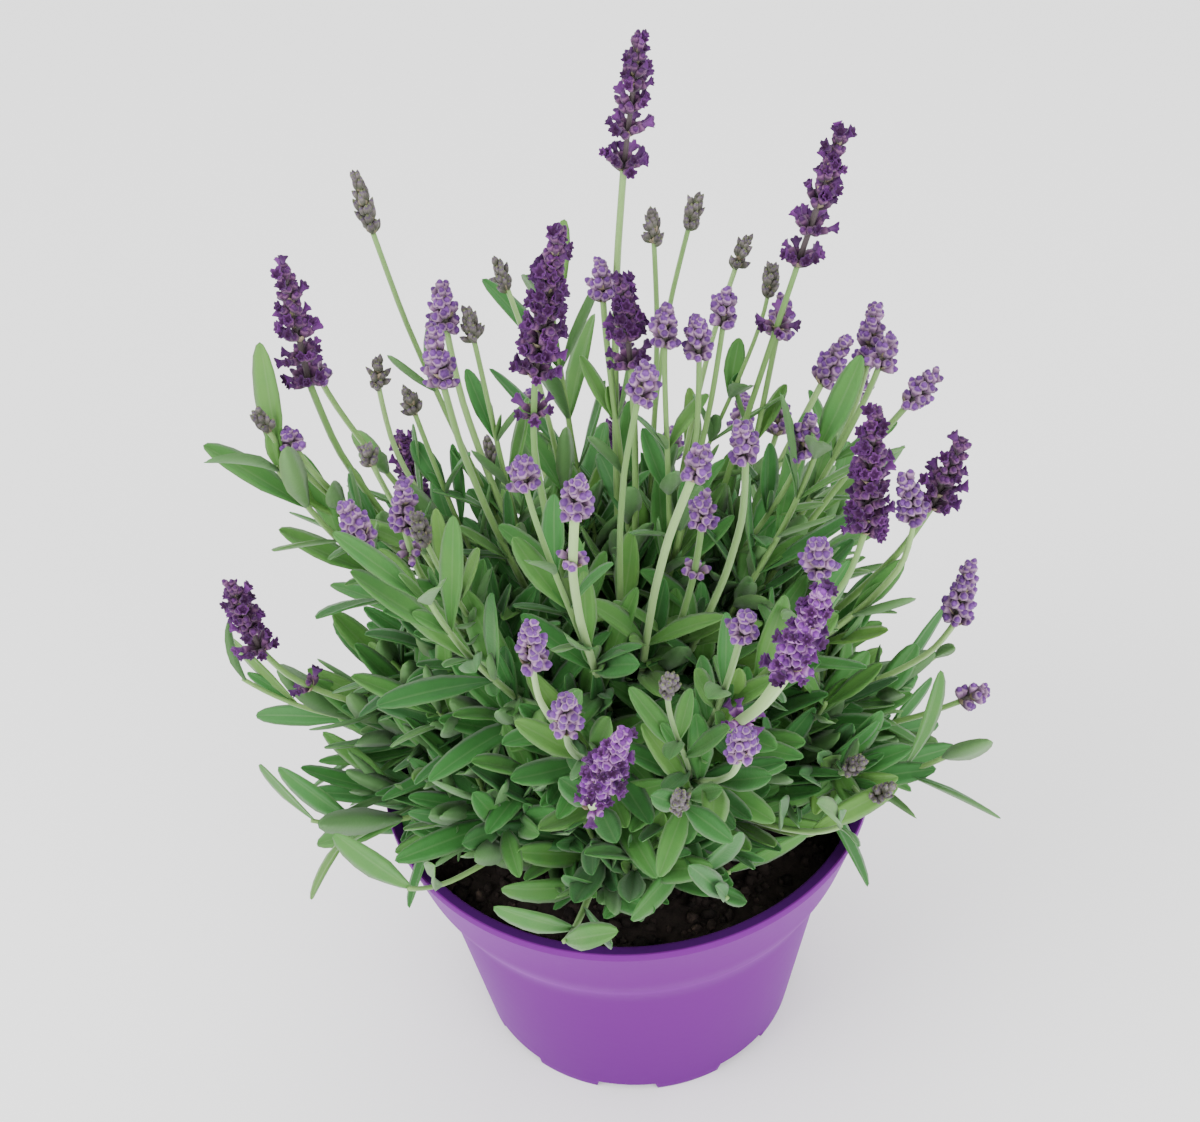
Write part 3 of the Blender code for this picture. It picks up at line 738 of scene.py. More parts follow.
def addFlowers(growth, base, along, size, tone, paint, draw):
    # a small tube that flares into five rounded lobes; the two upper lobes stand up and the rest spread
    profile = np.array(flowerShape["rows"])
    sides = 3 * flowerShape["lobes"]
    count = len(base)
    near = np.broadcast_to(upright, along.shape) + draw.normal(0, flowerShape["tilt"], along.shape)
    axis = unit(squarely(along, near))
    other = np.cross(along, axis)
    turns = (np.arange(sides) + 0.5) * 2 * math.pi / sides
    lobes = 0.5 - 0.5 * np.cos(flowerShape["lobes"] * turns)
    around = np.cos(turns)[None, :, None] * axis[:, None] + np.sin(turns)[None, :, None] * other[:, None]
    lobed = 1 - profile[:, 2, None] * lobes
    reach = profile[:, 1, None] * lobed * (1 + flowerShape["upper"] * np.cos(turns))
    wide = np.maximum(profile[:, 1, None] - 1, 0)
    curl = flowerShape["curl"] * np.cos(turns) - flowerShape["curl"] * lobes
    ahead = profile[:, 0, None] + flowerShape["lip"] * wide * curl
    uneven = draw.normal(0, flowerShape["ragged"], (count, 1, sides))
    ragged = 1 + uneven * np.clip(profile[:, 1, None] - 1, 0, 1)
    rings = base[:, None, None] + along[:, None, None] * (ahead[None] * size[:, None, None])[..., None]
    rings = rings + around[:, None] * (reach[None] * ragged * size[:, None, None])[..., None]
    low = base + along * (profile[0, 0] - 0.3) * size[:, None]
    high = base + along * 0.1 * size[:, None]
    growth.add(rings, low, high, paint, flowerShape["along"], 1 - lobes, tone)


headLooks = {
    # the way between whorls, florets in a whorl, each floret's size, how far the lowest and the top
    # florets point aside in degrees, and the share that is open
    "open_flowers": {"whorl": 0.0050, "florets": 13, "bud": 0.0062, "thick": 0.00135, "splay": (54, 18),
                     "open": 0.60, "kind": "open", "shape": "closed", "stem": 0.00100},
    "lilac_buds": {"whorl": 0.0036, "florets": 9, "bud": 0.0060, "thick": 0.00155, "splay": (50, 12),
                   "open": 0.0, "kind": "lilac", "shape": "closed", "stem": 0.00094},
    "young_heads": {"whorl": 0.0029, "florets": 8, "bud": 0.0054, "thick": 0.00125, "splay": (32, 6),
                    "open": 0.0, "kind": "young", "shape": "young", "stem": 0.00076},
}
headPaints = {"bud": 0, "petal": 1, "bract": 2, "stem": 3}
whorlLook = {
    "turn": 0.22,           # how unevenly the florets stand round the stem, lean and climb
    "lean": 10,
    "climb": 0.0006,
    "out": 0.7,             # where they begin, as a share of the stem's radius
    "lengths": (0.86, 1.14),
    "widths": (0.88, 1.14),
    "girth": 0.45,          # the share of a floret's width that doesn't follow the whorl's size
    "mouth": 0.9,           # a flower opens at this share of its bud's length
    "facing": 0.35,         # and turns this much outwards,
    "wander": 0.12,         # give or take this
    "flowers": (0.8, 1.25),
    "bracts": 4,
    "bractLean": 8,
    "bractSize": 0.72,      # against the bud's length
    "bractWidth": 0.75,     # against the bract's own length
    "bractBend": -0.5,
    "bractDrop": 0.0007,
    "bractOut": 0.6,
}


def addWhorl(growth, middle, direction, look, draw, size=1.0, splay=50.0, florets=None, opened=0.0):
    # florets round the spike: buds that point out and up, some with an open flower, over small bracts
    count = florets or look["florets"]
    side = squarely(direction, askew)
    other = np.cross(direction, side)
    turns = (np.arange(count) + draw.uniform(0, 1)) * 2 * math.pi / count
    turns = turns + draw.normal(0, whorlLook["turn"], count)
    out = np.cos(turns)[:, None] * side + np.sin(turns)[:, None] * other
    angle = np.radians(splay + draw.normal(0, whorlLook["lean"], count))
    along = unit(np.cos(angle)[:, None] * direction + np.sin(angle)[:, None] * out)
    climb = draw.normal(0, whorlLook["climb"], count)
    base = middle + out * look["stem"] * whorlLook["out"] + direction * climb[:, None]
    length = look["bud"] * size * draw.uniform(*whorlLook["lengths"], count)
    girth = whorlLook["girth"] + (1 - whorlLook["girth"]) * size
    radius = look["thick"] * girth * draw.uniform(*whorlLook["widths"], count)
    tone = draw.random(count)
    addBuds(growth, base, along, length, radius, tone, headPaints["bud"], look["shape"])
    flowering = draw.random(count) < opened
    if flowering.any():
        opening = flowering.sum()
        mouth = base[flowering] + along[flowering] * length[flowering, None] * whorlLook["mouth"]
        wander = draw.normal(0, whorlLook["wander"], (opening, 3))
        facing = unit(along[flowering] + whorlLook["facing"] * out[flowering] + wander)
        flowerSize = flowerShape["size"] * draw.uniform(*whorlLook["flowers"], opening)
        addFlowers(growth, mouth, facing, flowerSize, tone[flowering], headPaints["petal"], draw)
    bracts = whorlLook["bracts"]
    turn = (np.arange(bracts) + draw.uniform(0, 1)) * 2 * math.pi / bracts
    outward = np.cos(turn)[:, None] * side + np.sin(turn)[:, None] * other
    lean = math.radians(splay + whorlLook["bractLean"])
    forward = math.cos(lean) * direction + math.sin(lean) * outward
    upward = math.sin(lean) * direction - math.cos(lean) * outward
    bractLength = np.full(bracts, look["bud"] * whorlLook["bractSize"] * size)
    foot = middle - direction * whorlLook["bractDrop"] + outward * look["stem"] * whorlLook["bractOut"]
    bend = np.full(bracts, whorlLook["bractBend"])
    addLeaves(growth, foot, forward, upward, bractLength, bractLength * whorlLook["bractWidth"], bend,
              np.zeros(bracts), draw.random(bracts), headPaints["bract"])


headShape = {
    "gap": 0.9,             # a head's last whorl stands this many buds below its tip
    "rest": 0.6,            # the last gap is at least this share of a whorl
    "spread": 1.08,         # the first gap against the look's own, and how much the last one is less
    "closer": 0.38,
    "narrow": 0.42,         # how much smaller the florets are at the tip,
    "narrowFrom": 1.8,      # and how late they get so
    "lowest": 0.12,         # how much smaller they are in the lowest whorl
    "steepFrom": 1.6,
    "fewer": 0.35,
    "openest": 1.15,        # how many florets are open at the foot and how many fewer at the tip
    "closing": 0.75,
    "top": {"size": 0.62, "splay": 8.0, "florets": 4, "open": 0.2},
    "core": (0.0012, 0.0015, 0.85),     # how far the core reaches past both ends, and its girth
    "coreRows": 6,
    "lone": {"size": 0.75, "splay": 62.0, "florets": 6, "open": 1.3},
}


def addHead(growth, foot, direction, length, look, draw, apart=()):
    # whorls from the foot to the tip: they get narrower, closer and steeper on the way; apart gives
    # bare lengths of stem left above the lowest whorls
    spots = [0.0]
    for gap in apart:
        spots.append(spots[-1] + gap)
    reach = length - look["bud"] * headShape["gap"]
    while spots[-1] + look["whorl"] * headShape["rest"] < reach:
        share = spots[-1] / max(reach, 1e-6)
        spots.append(spots[-1] + look["whorl"] * (headShape["spread"] - headShape["closer"] * share))
    for order, spot in enumerate(spots):
        share = min(1.0, spot / max(reach, 1e-6))
        girth = 1.0 - headShape["narrow"] * share ** headShape["narrowFrom"]
        girth -= headShape["lowest"] if order == 0 and not apart else 0.0
        splay = look["splay"][0] + (look["splay"][1] - look["splay"][0]) * share ** headShape["steepFrom"]
        florets = max(4, round(look["florets"] * (1 - headShape["fewer"] * share**2)))
        opened = look["open"] * (headShape["openest"] - headShape["closing"] * share)
        addWhorl(growth, foot + direction * spot, direction, look, draw, girth, splay, florets, opened)
    top = foot + direction * reach
    last = headShape["top"]
    addWhorl(growth, top, direction, look, draw, last["size"], last["splay"], last["florets"],
             look["open"] * last["open"])
    below, above, girth = headShape["core"]
    core = np.array([foot - direction * below, foot + direction * (reach + above)])
    rows = headShape["coreRows"]
    path = np.stack([np.interp(np.linspace(0, 1, rows), [0, 1], core[:, axis]) for axis in range(3)], axis=1)
    addStems(growth, path[None], np.full((1, rows), look["stem"] * girth), headPaints["stem"])


brightLook = {"kind": "bright", "open": 0.42, "whorl": 0.0044, "florets": 12, "thick": 0.00155}
headStyles = {
    # bare stem above the lowest whorls in metres, a share by which a stem is thicker, and places
    # along the stem of lone whorls, from 0 at the crown to 1 at the head
    "flower_stalk_01": {"apart": (0.0106, 0.0078, 0.0066)},
    "flower_stalk_02": {"apart": (0.0092,)},
    "flower_stalk_03": {"apart": (0.0112, 0.0088), "lone": (0.90,)},
    "flower_stalk_04": {"apart": (0.0084, 0.0072)},
    "flower_stalk_05": {"lone": (0.915,)},
    "flower_stalk_07": {"thick": 2.0, "pale": 0.8, "lone": (0.72,), "look": brightLook},
    "flower_stalk_08": {"apart": (0.0085,), "lone": (0.80,)},
    "flower_stalk_09": {"thick": 1.9, "pale": 1.0, "lone": (0.82,), "look": brightLook},
    "flower_stalk_15": {"lone": (0.93,)},
    "flower_stalk_17": {"lone": (0.86,), "thick": 1.5, "pale": 0.7},
    "flower_stalk_20": {"thick": 1.2, "pale": 0.6},
    "flower_stalk_18": {"apart": (0.0062,), "pale": 0.8},
    "flower_stalk_19": {"lone": (0.94,)},
    "flower_stalk_22": {"lone": (0.85,)},
    "flower_stalk_36": {"pairs": (0.72,)},
}
sideHeads = {
    # heads on branches of a stalk: how far the head's foot stands from the stalk's own, in
    # millimetres, the head's length and its look
    "flower_stalk_17": (((-13, 20, -5), 12, "lilac_buds"),),
    "flower_stalk_07": (((-11, 10, 6), 12, "lilac_buds"),),
    "flower_stalk_25": (((-19, 10, 15), 12, "young_heads"), ((-18, -8, -11), 14, "young_heads")),
    "flower_stalk_31": (((2, -10, 6), 13, "lilac_buds"),),
    "flower_stalk_23": (((-10, 0, 5), 15, "lilac_buds"),),
    "flower_stalk_02": (((-7, 20, 11), 15, "lilac_buds"),),
    "flower_stalk_39": (((9, -10, -5), 13, "young_heads"),),
    "flower_stalk_13": (((8, 0, -5), 13, "young_heads"),),
    "flower_stalk_41": (((10, 0, -11), 11, "young_heads"), ((-19, 10, -3), 12, "lilac_buds")),
    "flower_stalk_04": (((-12, -15, -6), 10, "young_heads"), ((-5, -15, -13), 9, "lilac_buds")),
    "flower_stalk_15": (((-9, -20, 12), 20, "lilac_buds"), ((-8, 10, 17), 9, "young_heads"),
                        ((7, -10, 2), 15, "young_heads")),
    "flower_stalk_32": (((-10, -30, -4), 16, "lilac_buds"), ((-12, 20, 5), 15, "lilac_buds")),
    "flower_stalk_27": (((-43, -40, 13), 12, "young_heads"), ((-36, -50, 11), 13, "young_heads")),
    "flower_stalk_11": (((18, -8, 12), 14, "lilac_buds"), ((-22, 0, -6), 12, "young_heads")),
    "flower_stalk_33": (((-16, -6, -10), 12, "young_heads"),),
    "flower_stalk_34": (((14, 8, -8), 14, "lilac_buds"),),
    "flower_stalk_35": (((8, 12, 6), 12, "young_heads"),),
}


leafSurface, stemSurface = leafFinish(), stemFinish()
petalSurface, bractSurface = petalFinish(), bractFinish()
budSurfaces = {kind: budFinish(kind) for kind in budPaint}
coreSurfaces = {kind: Finish(kind + "_core_surface", 0.7, Base_Color=paints[0])
                for kind, paints in budPaint.items()}


def headFinishes(kind):
    # in the order of headPaints
    return budSurfaces[kind], petalSurface, bractSurface, coreSurfaces[kind]


stalkStyle = {
    "leafFrom": 0.16,       # the leafy stretch of a stalk, as shares of its length
    "leafTop": 0.210,       # the height where it ends, in metres
    "topVaries": (0.92, 1.06),
    "bare": 0.058,          # and the least bare stem below the head
    "bareVaries": (0.8, 1.2),
    "size": 1.0,
    "pairSize": 0.6,
    "foot": 1.25,           # how much thicker a stem is at its foot
    "tones": (0.05, 0.55),  # from green to pale
    "fork": 0.42,           # a branch leaves the stem at this share of its length,
    "along": 0.5,           # towards this one
    "rise": 0.8,            # and how much it turns up
    "pull": 0.7,
    "twigRows": 16,
    "twigLeaves": (0.15, 0.6, 4),
    "twigLeafSize": 0.8,
}


def makeStalk(name):
    # one flower stalk of the frame as two pieces: its leafy stem and its flower heads
    slot = slotOf(name)
    style = headStyles.get(name, {})
    look = {**headLooks[slot], **style.get("look", {})}
    number = int(name[-2:])
    draw = np.random.default_rng(1000 + number)
    foot, direction, length = headOf(name)
    path = stemOf(name, foot)
    stem, head = Growth(), Growth()
    rows = np.linspace(0, 1, len(path))
    taper = stalkStyle["foot"] - (stalkStyle["foot"] - 1) * rows
    radii = look["stem"] * taper * (1 + (style.get("thick", 1) - 1) * rows)
    addStems(stem, path[None], radii[None], 1, tone=style.get("pale", draw.uniform(*stalkStyle["tones"])))
    run = np.linalg.norm(np.diff(path, axis=0), axis=1).sum()
    below = rows[path[:, 2] < stalkStyle["leafTop"] * draw.uniform(*stalkStyle["topVaries"])].max()
    below = min(below, 1 - stalkStyle["bare"] * draw.uniform(*stalkStyle["bareVaries"]) / run)
    start = stalkStyle["leafFrom"]
    shares = np.linspace(start, below, max(3, round(run * (below - start) / leafPairs["spacing"])))
    addLeafPairs(stem, path[None], shares, draw, stalkStyle["size"])
    if "pairs" in style:
        addLeafPairs(stem, path[None], np.array(style["pairs"]), draw, stalkStyle["pairSize"])
    addHead(head, foot, direction, length, look, draw, style.get("apart", ()))
    last = len(path) - 1
    lone = headShape["lone"]
    for share in style.get("lone", ()):
        spot = path[round(share * last)]
        ahead = unit(path[min(last, round(share * last) + 1)] - spot)
        addWhorl(head, spot, ahead, look, draw, lone["size"], lone["splay"], lone["florets"],
                 min(1.0, look["open"] * lone["open"]))
    sides = {}
    for offset, headLength, kind in sideHeads.get(name, ()):
        branch = np.array(offset) * 0.001 + foot
        leaving = path[round(stalkStyle["fork"] * last)]
        ahead = unit(path[round(stalkStyle["along"] * last)] - leaving)
        up = unit(unit(branch - crownHeart) + stalkStyle["rise"] * upright)
        rowCount = stalkStyle["twigRows"]
        twig = hermite(leaving[None], ahead[None], branch[None], up[None], rowCount, stalkStyle["pull"])
        twigLook = headLooks[kind]
        addStems(stem, twig, np.full((1, rowCount), twigLook["stem"]), 1)
        addLeafPairs(stem, twig, np.linspace(*stalkStyle["twigLeaves"]), draw, stalkStyle["twigLeafSize"])
        sides.setdefault(kind, Growth())
        addHead(sides[kind], branch, up, headLength * 0.001, twigLook, draw)
    standsFor(stem.piece(f"stalk_{number:02d}_stem", (leafSurface, stemSurface)), "leaf_green", name)
    standsFor(head.piece(f"stalk_{number:02d}_head", headFinishes(look["kind"])), slot, name)
    for kind, growth in sides.items():
        colour = headLooks[kind]["kind"]
        standsFor(growth.piece(f"stalk_{number:02d}_side_{colour}", headFinishes(colour)), kind, name)


bush = {
    "branches": 96,
    "reach": (0.097, 0.082, 0.106),     # the dome that the branches fill, from the crown out
    "frontReach": 0.70,                 # and the share of it that they keep to low at the front
    "depth": (0.72, 1.0),
    "climb": (0.02, 0.93),              # the sine of the lowest branch's rise, and how much it grows
    "over": 0.004,                      # how far above the lowest place for leaves a tip stands
    "leafy": (0.30, 0.97, 6),
    "size": 1.0,
    "tone": 0.42,
    "stem": 0.0011,
    "taper": (1.1, 0.7),
    "from": (2, 6),                     # the rows of the shoot that the branches leave from
    "aim": 0.6,                         # how much a branch leaves towards its tip
    "rise": 0.9,                        # and how much it turns up at its tip
    "wander": 0.12,
    "bow": 0.004,
    "pull": 0.8,
    "rows": 18,
    "front": 0.5,                       # the front counts up to this sine of the rise
}
shootLook = {
    "stem": 0.00115,
    "taper": (1.15, 0.7),
    "leafy": (0.28, 0.99),
    "fewest": 5,
    "leafyShare": 0.7,      # the share of its length that a shoot's pairs are counted on
    "size": 1.06,
    "tip": 0.8,
}


def branchTips(draw):
    # tips spread evenly over a dome by turning a golden angle from one to the next
    count = bush["branches"]
    order = np.arange(count)
    turn = order * math.pi * (3 - math.sqrt(5))
    climb = (order + 0.5) / count
    lowest, growing = bush["climb"]
    rise = np.arcsin(np.clip(lowest + growing * climb, 0, 1))
    direction = np.stack([np.cos(turn) * np.cos(rise), np.sin(turn) * np.cos(rise), np.sin(rise)], axis=1)
    front = np.clip(-direction[:, 1], 0, 1) ** 2 * np.clip(1 - direction[:, 2] / bush["front"], 0, 1)
    reach = (1 - (1 - bush["frontReach"]) * front) * draw.uniform(*bush["depth"], count)
    tips = crownHeart + direction * np.array(bush["reach"]) * reach[:, None]
    tips[:, 2] = np.maximum(tips[:, 2], lowestAllowed(tips) + bush["over"])
    return tips, direction


def makeShoots():
    # each leafy shoot of the frame, with the branches that end nearest to it
    names = nodesLike("leafy_shoot_")
    paths = np.array([stemOf(name) for name in names])
    draw = np.random.default_rng(77)
    tips, direction = branchTips(draw)
    ways = unit(paths[:, -1] - crownHeart)
    nearest = (direction @ ways.T).argmax(axis=1)
    for order, name in enumerate(names):
        number = int(name[-2:])
        growth = Growth()
        path = paths[order][None]
        own = np.random.default_rng(2000 + number)
        rows = path.shape[1]
        taper = np.linspace(*shootLook["taper"], rows)
        addStems(growth, path, np.full((1, rows), shootLook["stem"]) * taper, 1)
        run = np.linalg.norm(np.diff(path[0], axis=0), axis=1).sum()
        count = max(shootLook["fewest"], round(run * shootLook["leafyShare"] / leafPairs["spacing"]))
        shares = np.linspace(*shootLook["leafy"], count)
        tip = paths[order][-1]
        atFront = abs(math.degrees(math.atan2(tip[0], -tip[1]))) < clearing["free"]
        addLeafPairs(growth, path, shares, own, shootLook["size"], shootLook["tip"], clear=atFront)
        mine = tips[nearest == order]
        if len(mine):
            starts = path[0][own.integers(*bush["from"], len(mine))]
            away = unit(unit(starts - crownHeart) + bush["aim"] * unit(mine - starts))
            wander = own.normal(0, bush["wander"], (len(mine), 3))
            up = unit(unit(mine - starts) + bush["rise"] * upright + wander)
            bow = own.normal(0, bush["bow"], (len(mine), 3))
            twigRows = bush["rows"]
            twigs = hermite(starts, away, mine, up, twigRows, bush["pull"], bow)
            radii = np.full((len(mine), twigRows), bush["stem"]) * np.linspace(*bush["taper"], twigRows)
            addStems(growth, twigs, radii, 1)
            addLeafPairs(growth, twigs, np.linspace(*bush["leafy"]), own, bush["size"], tone=bush["tone"])
        standsFor(growth.piece(f"shoot_{number:02d}", (leafSurface, stemSurface)), "leaf_green", name)


def onAxis(height):
    # a pole on the upright axis
    return np.array([[0.0, 0.0, height]])


def turnedSurface(name, profile, columns, finish, shift, along):
    # a profile of (radius, height) turned once round the upright axis; its first and last points are
    # on the axis, shift moves the points of the grid before they become a mesh, and along colours them
    radius, height = np.array(profile[1:-1]).T
    turns = turnsOf(columns)
    grid = np.stack([radius[:, None] * np.cos(turns), radius[:, None] * np.sin(turns),
                     np.repeat(height[:, None], columns, axis=1)], axis=-1)
    low, high = onAxis(profile[0][1]), onAxis(profile[-1][1])
    growth = Growth()
    growth.add(shift(grid, turns)[None], low, high, 0, along, np.zeros(columns), 0.5)
    return growth.piece(name, (finish,))


potLook = {
    "colour": screen(96, 28, 114),
    "low": screen(88, 24, 108),
    # painted shade: this darker violet on the lip's top and the inner wall stands in for the shade that the
    # plant casts there
    "inside": screen(58, 16, 80),
    "roughness": 0.42,
    "columns": 360,
    "collar": 0.032,        # height of the wider top part
    "collarFoot": 0.0765,
    "bodyTop": 0.072,
    "base": 0.058,
    "wall": 0.0016,
    "lip": 0.004,
    "lipHeight": 0.003,
    # inward of this outer part, the lip's top and the inner wall carry the painted shade
    "lightLip": 0.0005,     # the outer part of the lip that has the wall's colour
    "overhang": 0.0003,     # how far the lip stands out over the wall
    "lipCorner": 0.0002,
    "ledge": 0.0014,
    "stepBelow": 0.0060,    # how far below and above the ledge its soft curve begins
    "stepAbove": 0.0040,
    "stepRound": 0.0055,
    "stepPoints": 6,
    "bodyRows": (0.056, 0.07, 0.1, 0.3, 0.6),   # shares of the body's height that get a row of points
    "edges": 0.0009,        # how round the other corners are
    "footRing": 0.004,
    "channelWidth": 0.011,
    "channelHeight": 0.003,
    "notches": 8,
    "notchWidth": 0.022,
    "notchHeight": 0.0040,
    "firstNotch": -97,      # its bearing in degrees from +X
    "notchEdge": 0.001,     # how far in from the foot's outer edge a notch has its full height
    "notchSkin": 0.0002,    # how far its roof stays below the channel's
    "notchReach": 0.0004,
}


def rounded(points, radius, steps=4):
    # a profile with its corners rounded: each inner corner becomes a short arc of points
    points = np.array(points, float)
    result = [points[0]]
    for before, corner, after in zip(points, points[1:], points[2:]):
        toBefore, toAfter = before - corner, after - corner
        cut = min(radius, 0.45 * np.linalg.norm(toBefore), 0.45 * np.linalg.norm(toAfter))
        start, end = corner + unit(toBefore) * cut, corner + unit(toAfter) * cut
        for share in np.linspace(0, 1, steps):
            result.append((1 - share) ** 2 * start + 2 * share * (1 - share) * corner + share**2 * end)
    result.append(points[-1])
    return result


def potProfile():
    # the wall's outline from the middle of the underside, out, up and over the lip, then down inside;
    # each corner is rounded, and the step between body and collar is one soft curve
    look = potLook
    footHeight = rimHeight - look["collar"]
    inner = look["base"] - look["footRing"]
    channelInner = inner - look["channelWidth"]
    floor = look["channelHeight"] + look["wall"]
    share = floor / footHeight
    underLip = rimHeight - 2 * look["lipHeight"]
    climb = (underLip - footHeight) / look["collar"]
    wallTop = rimRadius - look["overhang"]
    lipFoot = rimHeight - look["lipHeight"]
    lipEdge = rimRadius - look["lightLip"]
    innerWall = [
        (look["base"] + share * (look["bodyTop"] - look["base"]) - look["wall"], floor),
        (look["bodyTop"] - look["wall"], footHeight),
        (look["collarFoot"] - look["wall"], footHeight + look["ledge"]),
        (look["collarFoot"] + climb * (wallTop - look["collarFoot"]) - look["wall"], underLip),
    ]
    body = np.array([(look["base"], 0.0), (look["bodyTop"], footHeight - look["ledge"])])
    collar = np.array([(look["collarFoot"], footHeight), (wallTop, lipFoot)])
    rise = [tuple(body[0] + (body[1] - body[0]) * step) for step in look["bodyRows"]]
    below = body[1] - unit(body[1] - body[0]) * look["stepBelow"]
    above = collar[0] + unit(collar[1] - collar[0]) * look["stepAbove"]
    step = rounded([rise[-1], below, above, collar[1]], look["stepRound"], look["stepPoints"])[1:-1]
    channelWall = channelInner - look["wall"]
    outline = [
        (0, 0), (channelInner, 0), (channelInner, look["channelHeight"]), (inner, look["channelHeight"]),
        (inner, 0), (look["base"], 0), *rise, *step, tuple(collar[1]),
        (rimRadius, lipFoot), (rimRadius, rimHeight), (lipEdge, rimHeight),
        (lipEdge - look["lipCorner"], rimHeight), (rimRadius - look["lip"], rimHeight),
        *innerWall[::-1], (channelWall, floor), (channelWall, look["wall"]), (0, look["wall"]),
    ]
    return rounded(outline, look["edges"])


def notched(grid, turns):
    # lifts the foot ring's underside over the notches
    look = potLook
    first = math.radians(look["firstNotch"])
    step = 2 * math.pi / look["notches"]
    inNotch = np.abs((turns - first + step / 2) % step - step / 2) * look["base"] < look["notchWidth"] / 2
    away = np.linalg.norm(grid[..., :2], axis=-1)
    ring = away > look["base"] - look["footRing"] - look["notchReach"]
    outer = away > look["base"] - look["notchEdge"]
    roof = np.where(outer, look["notchHeight"], look["channelHeight"] - look["notchSkin"])
    grid[..., 2] = np.where(ring & inNotch & (grid[..., 2] < roof), roof, grid[..., 2])
    return grid


def makePot():
    # violet plastic that gets a little darker downwards, with faint streaks, and a painted shade inside the
    # lip: its top and the inner wall are coloured darker in place of shade
    finish = Finish("pot_surface", potLook["roughness"], Specular_IOR_Level=0.02, Sheen_Weight=0.18,
                    Sheen_Roughness=0.35, Sheen_Tint=(0.68, 0.12, 1.0, 1.0))
    height = finish.tree.nodes.new("ShaderNodeSeparateXYZ")
    finish.put(height, "Vector", finish.where)
    share = finish.sums("MULTIPLY", height.outputs["Z"], 1 / rimHeight)
    streak = finish.noise(22.0, 3.0, 0.5, (1.0, 1.0, 0.35))
    share = finish.sums("ADD", share, finish.sums("MULTIPLY", finish.sums("SUBTRACT", streak, 0.5), 0.5))
    wall = finish.ramp(share, (0.0, potLook["low"]), (0.9, potLook["colour"]))
    # the painted shade's mask: 1 on the inner part of the lip's top and everything inside the pot, 0 on the
    # outer wall
    inside = finish.ramp(finish.value("along"), (0.0, 0.0), (1.0, 1.0))
    finish.colour(finish.mix(inside, wall, potLook["inside"]))
    finish.bump(finish.noise(260.0, 3.0), 0.08, 0.0004)
    profile = np.array(potProfile())[1:-1]
    # the rows past the lip's highest point and inward of its outer edge get the painted shade
    past = np.arange(len(profile)) > profile[:, 1].argmax()
    lipEdge = rimRadius - potLook["lightLip"] - potLook["lipCorner"] / 2
    along = np.where(past & (profile[:, 0] < lipEdge), 1.0, 0.0)
    pot = turnedSurface("nursery_pot", potProfile(), potLook["columns"], finish, notched, along)
    standsFor(pot, "pot_plastic", "pot")


soilLook = {
    "dark": screen(14, 10, 8),
    "brown": screen(40, 32, 29),
    "pale": screen(78, 64, 56),
    "rows": 90,
    "columns": 360,
    "edge": 0.0046,         # how far the soil ends inside the rim's radius; it runs into the wall
    "drop": 0.0034,         # how far the surface's edge lies below the top of the frame's soil
    "heap": 0.003,          # how much it rises towards the middle
    "lumps": ((0.0022, 0.011), (0.0013, 0.0045), (0.0007, 0.0018)),     # heights and widths of lumps
    "fade": 0.03,           # the outer share of the radius where they get lower,
    "least": 0.4,           # down to this share of their height
    "clear": 0.0006,        # between the soil and the pot's floor
    "tone": 0.4,
    "crumbs": 1400,
    "crumbSize": (0.0008, 0.0030),
    "crumbPlaces": (0.02, 0.97),
    "crumbEdge": 0.985,     # crumbs and the body below keep to this share of the edge
    "smallCrumbs": 2.2,     # the higher, the more of the crumbs are small
    "crumbLift": 0.25,
    "crumbRises": (-60, -20, 20, 60),
    "crumbSides": 7,
    "crumbSquash": (0.55, 1.2),
    "crumbRough": 0.16,
    "crumbPole": 0.95,
}


def ballRings(rises, sides):
    # rings of a ball of radius 1 at these rises in radians
    turns = turnsOf(sides)
    return np.stack([np.cos(rises)[:, None] * np.cos(turns), np.cos(rises)[:, None] * np.sin(turns),
                     np.repeat(np.sin(rises)[:, None], sides, axis=1)], axis=-1)


def lumpsAt(spots, layers):
    # the first few layers of lumps, added up
    return sum(height * cloud(spots, width, order + 1)
               for order, (height, width) in enumerate(soilLook["lumps"][:layers]))


def soilSides(edge, top, floor):
    # radius and height of the soil's plain body, from its surface down the pot's wall to its floor
    footHeight = rimHeight - potLook["collar"]
    return (
        (edge * soilLook["crumbEdge"], top - 0.006),
        (potLook["collarFoot"] - 0.0030, footHeight + 0.003),
        (potLook["bodyTop"] - 0.0030, footHeight - 0.002),
        (potLook["base"] - 0.0012, floor + 0.001),
        (potLook["base"] * 0.5, floor),
    )


def addCrumbs(growth, edge, top):
    # squashed rough balls, partly sunk in the surface at random places
    draw = np.random.default_rng(5)
    count = soilLook["crumbs"]
    reach = np.sqrt(draw.uniform(*soilLook["crumbPlaces"], count)) * edge * soilLook["crumbEdge"]
    turn = draw.uniform(0, 2 * math.pi, count)
    smallest, largest = soilLook["crumbSize"]
    size = draw.uniform(0, 1, count) ** soilLook["smallCrumbs"] * (largest - smallest) + smallest
    spot = np.stack([reach * np.cos(turn), reach * np.sin(turn), np.zeros(count)], axis=1)
    heap = soilLook["heap"] * (1 - (reach / edge) ** 2)
    spot[:, 2] = top + heap + lumpsAt(spot, 2) + size * soilLook["crumbLift"]
    spot[:, :2] *= np.minimum(1, (edge - size) / np.maximum(reach, 1e-6))[:, None]
    rises, sides = np.radians(soilLook["crumbRises"]), soilLook["crumbSides"]
    squash = draw.uniform(*soilLook["crumbSquash"], (count, 1, 1, 3)) * size[:, None, None, None]
    rough = 1 + draw.normal(0, soilLook["crumbRough"], (count, len(rises), sides, 1))
    rings = spot[:, None, None] + ballRings(rises, sides) * squash * rough
    pole = upright * squash[:, 0, 0] * soilLook["crumbPole"]
    growth.add(rings, spot - pole, spot + pole, 0, np.linspace(0, 1, len(rises)), np.zeros(sides),
               draw.uniform(0, 1, count))


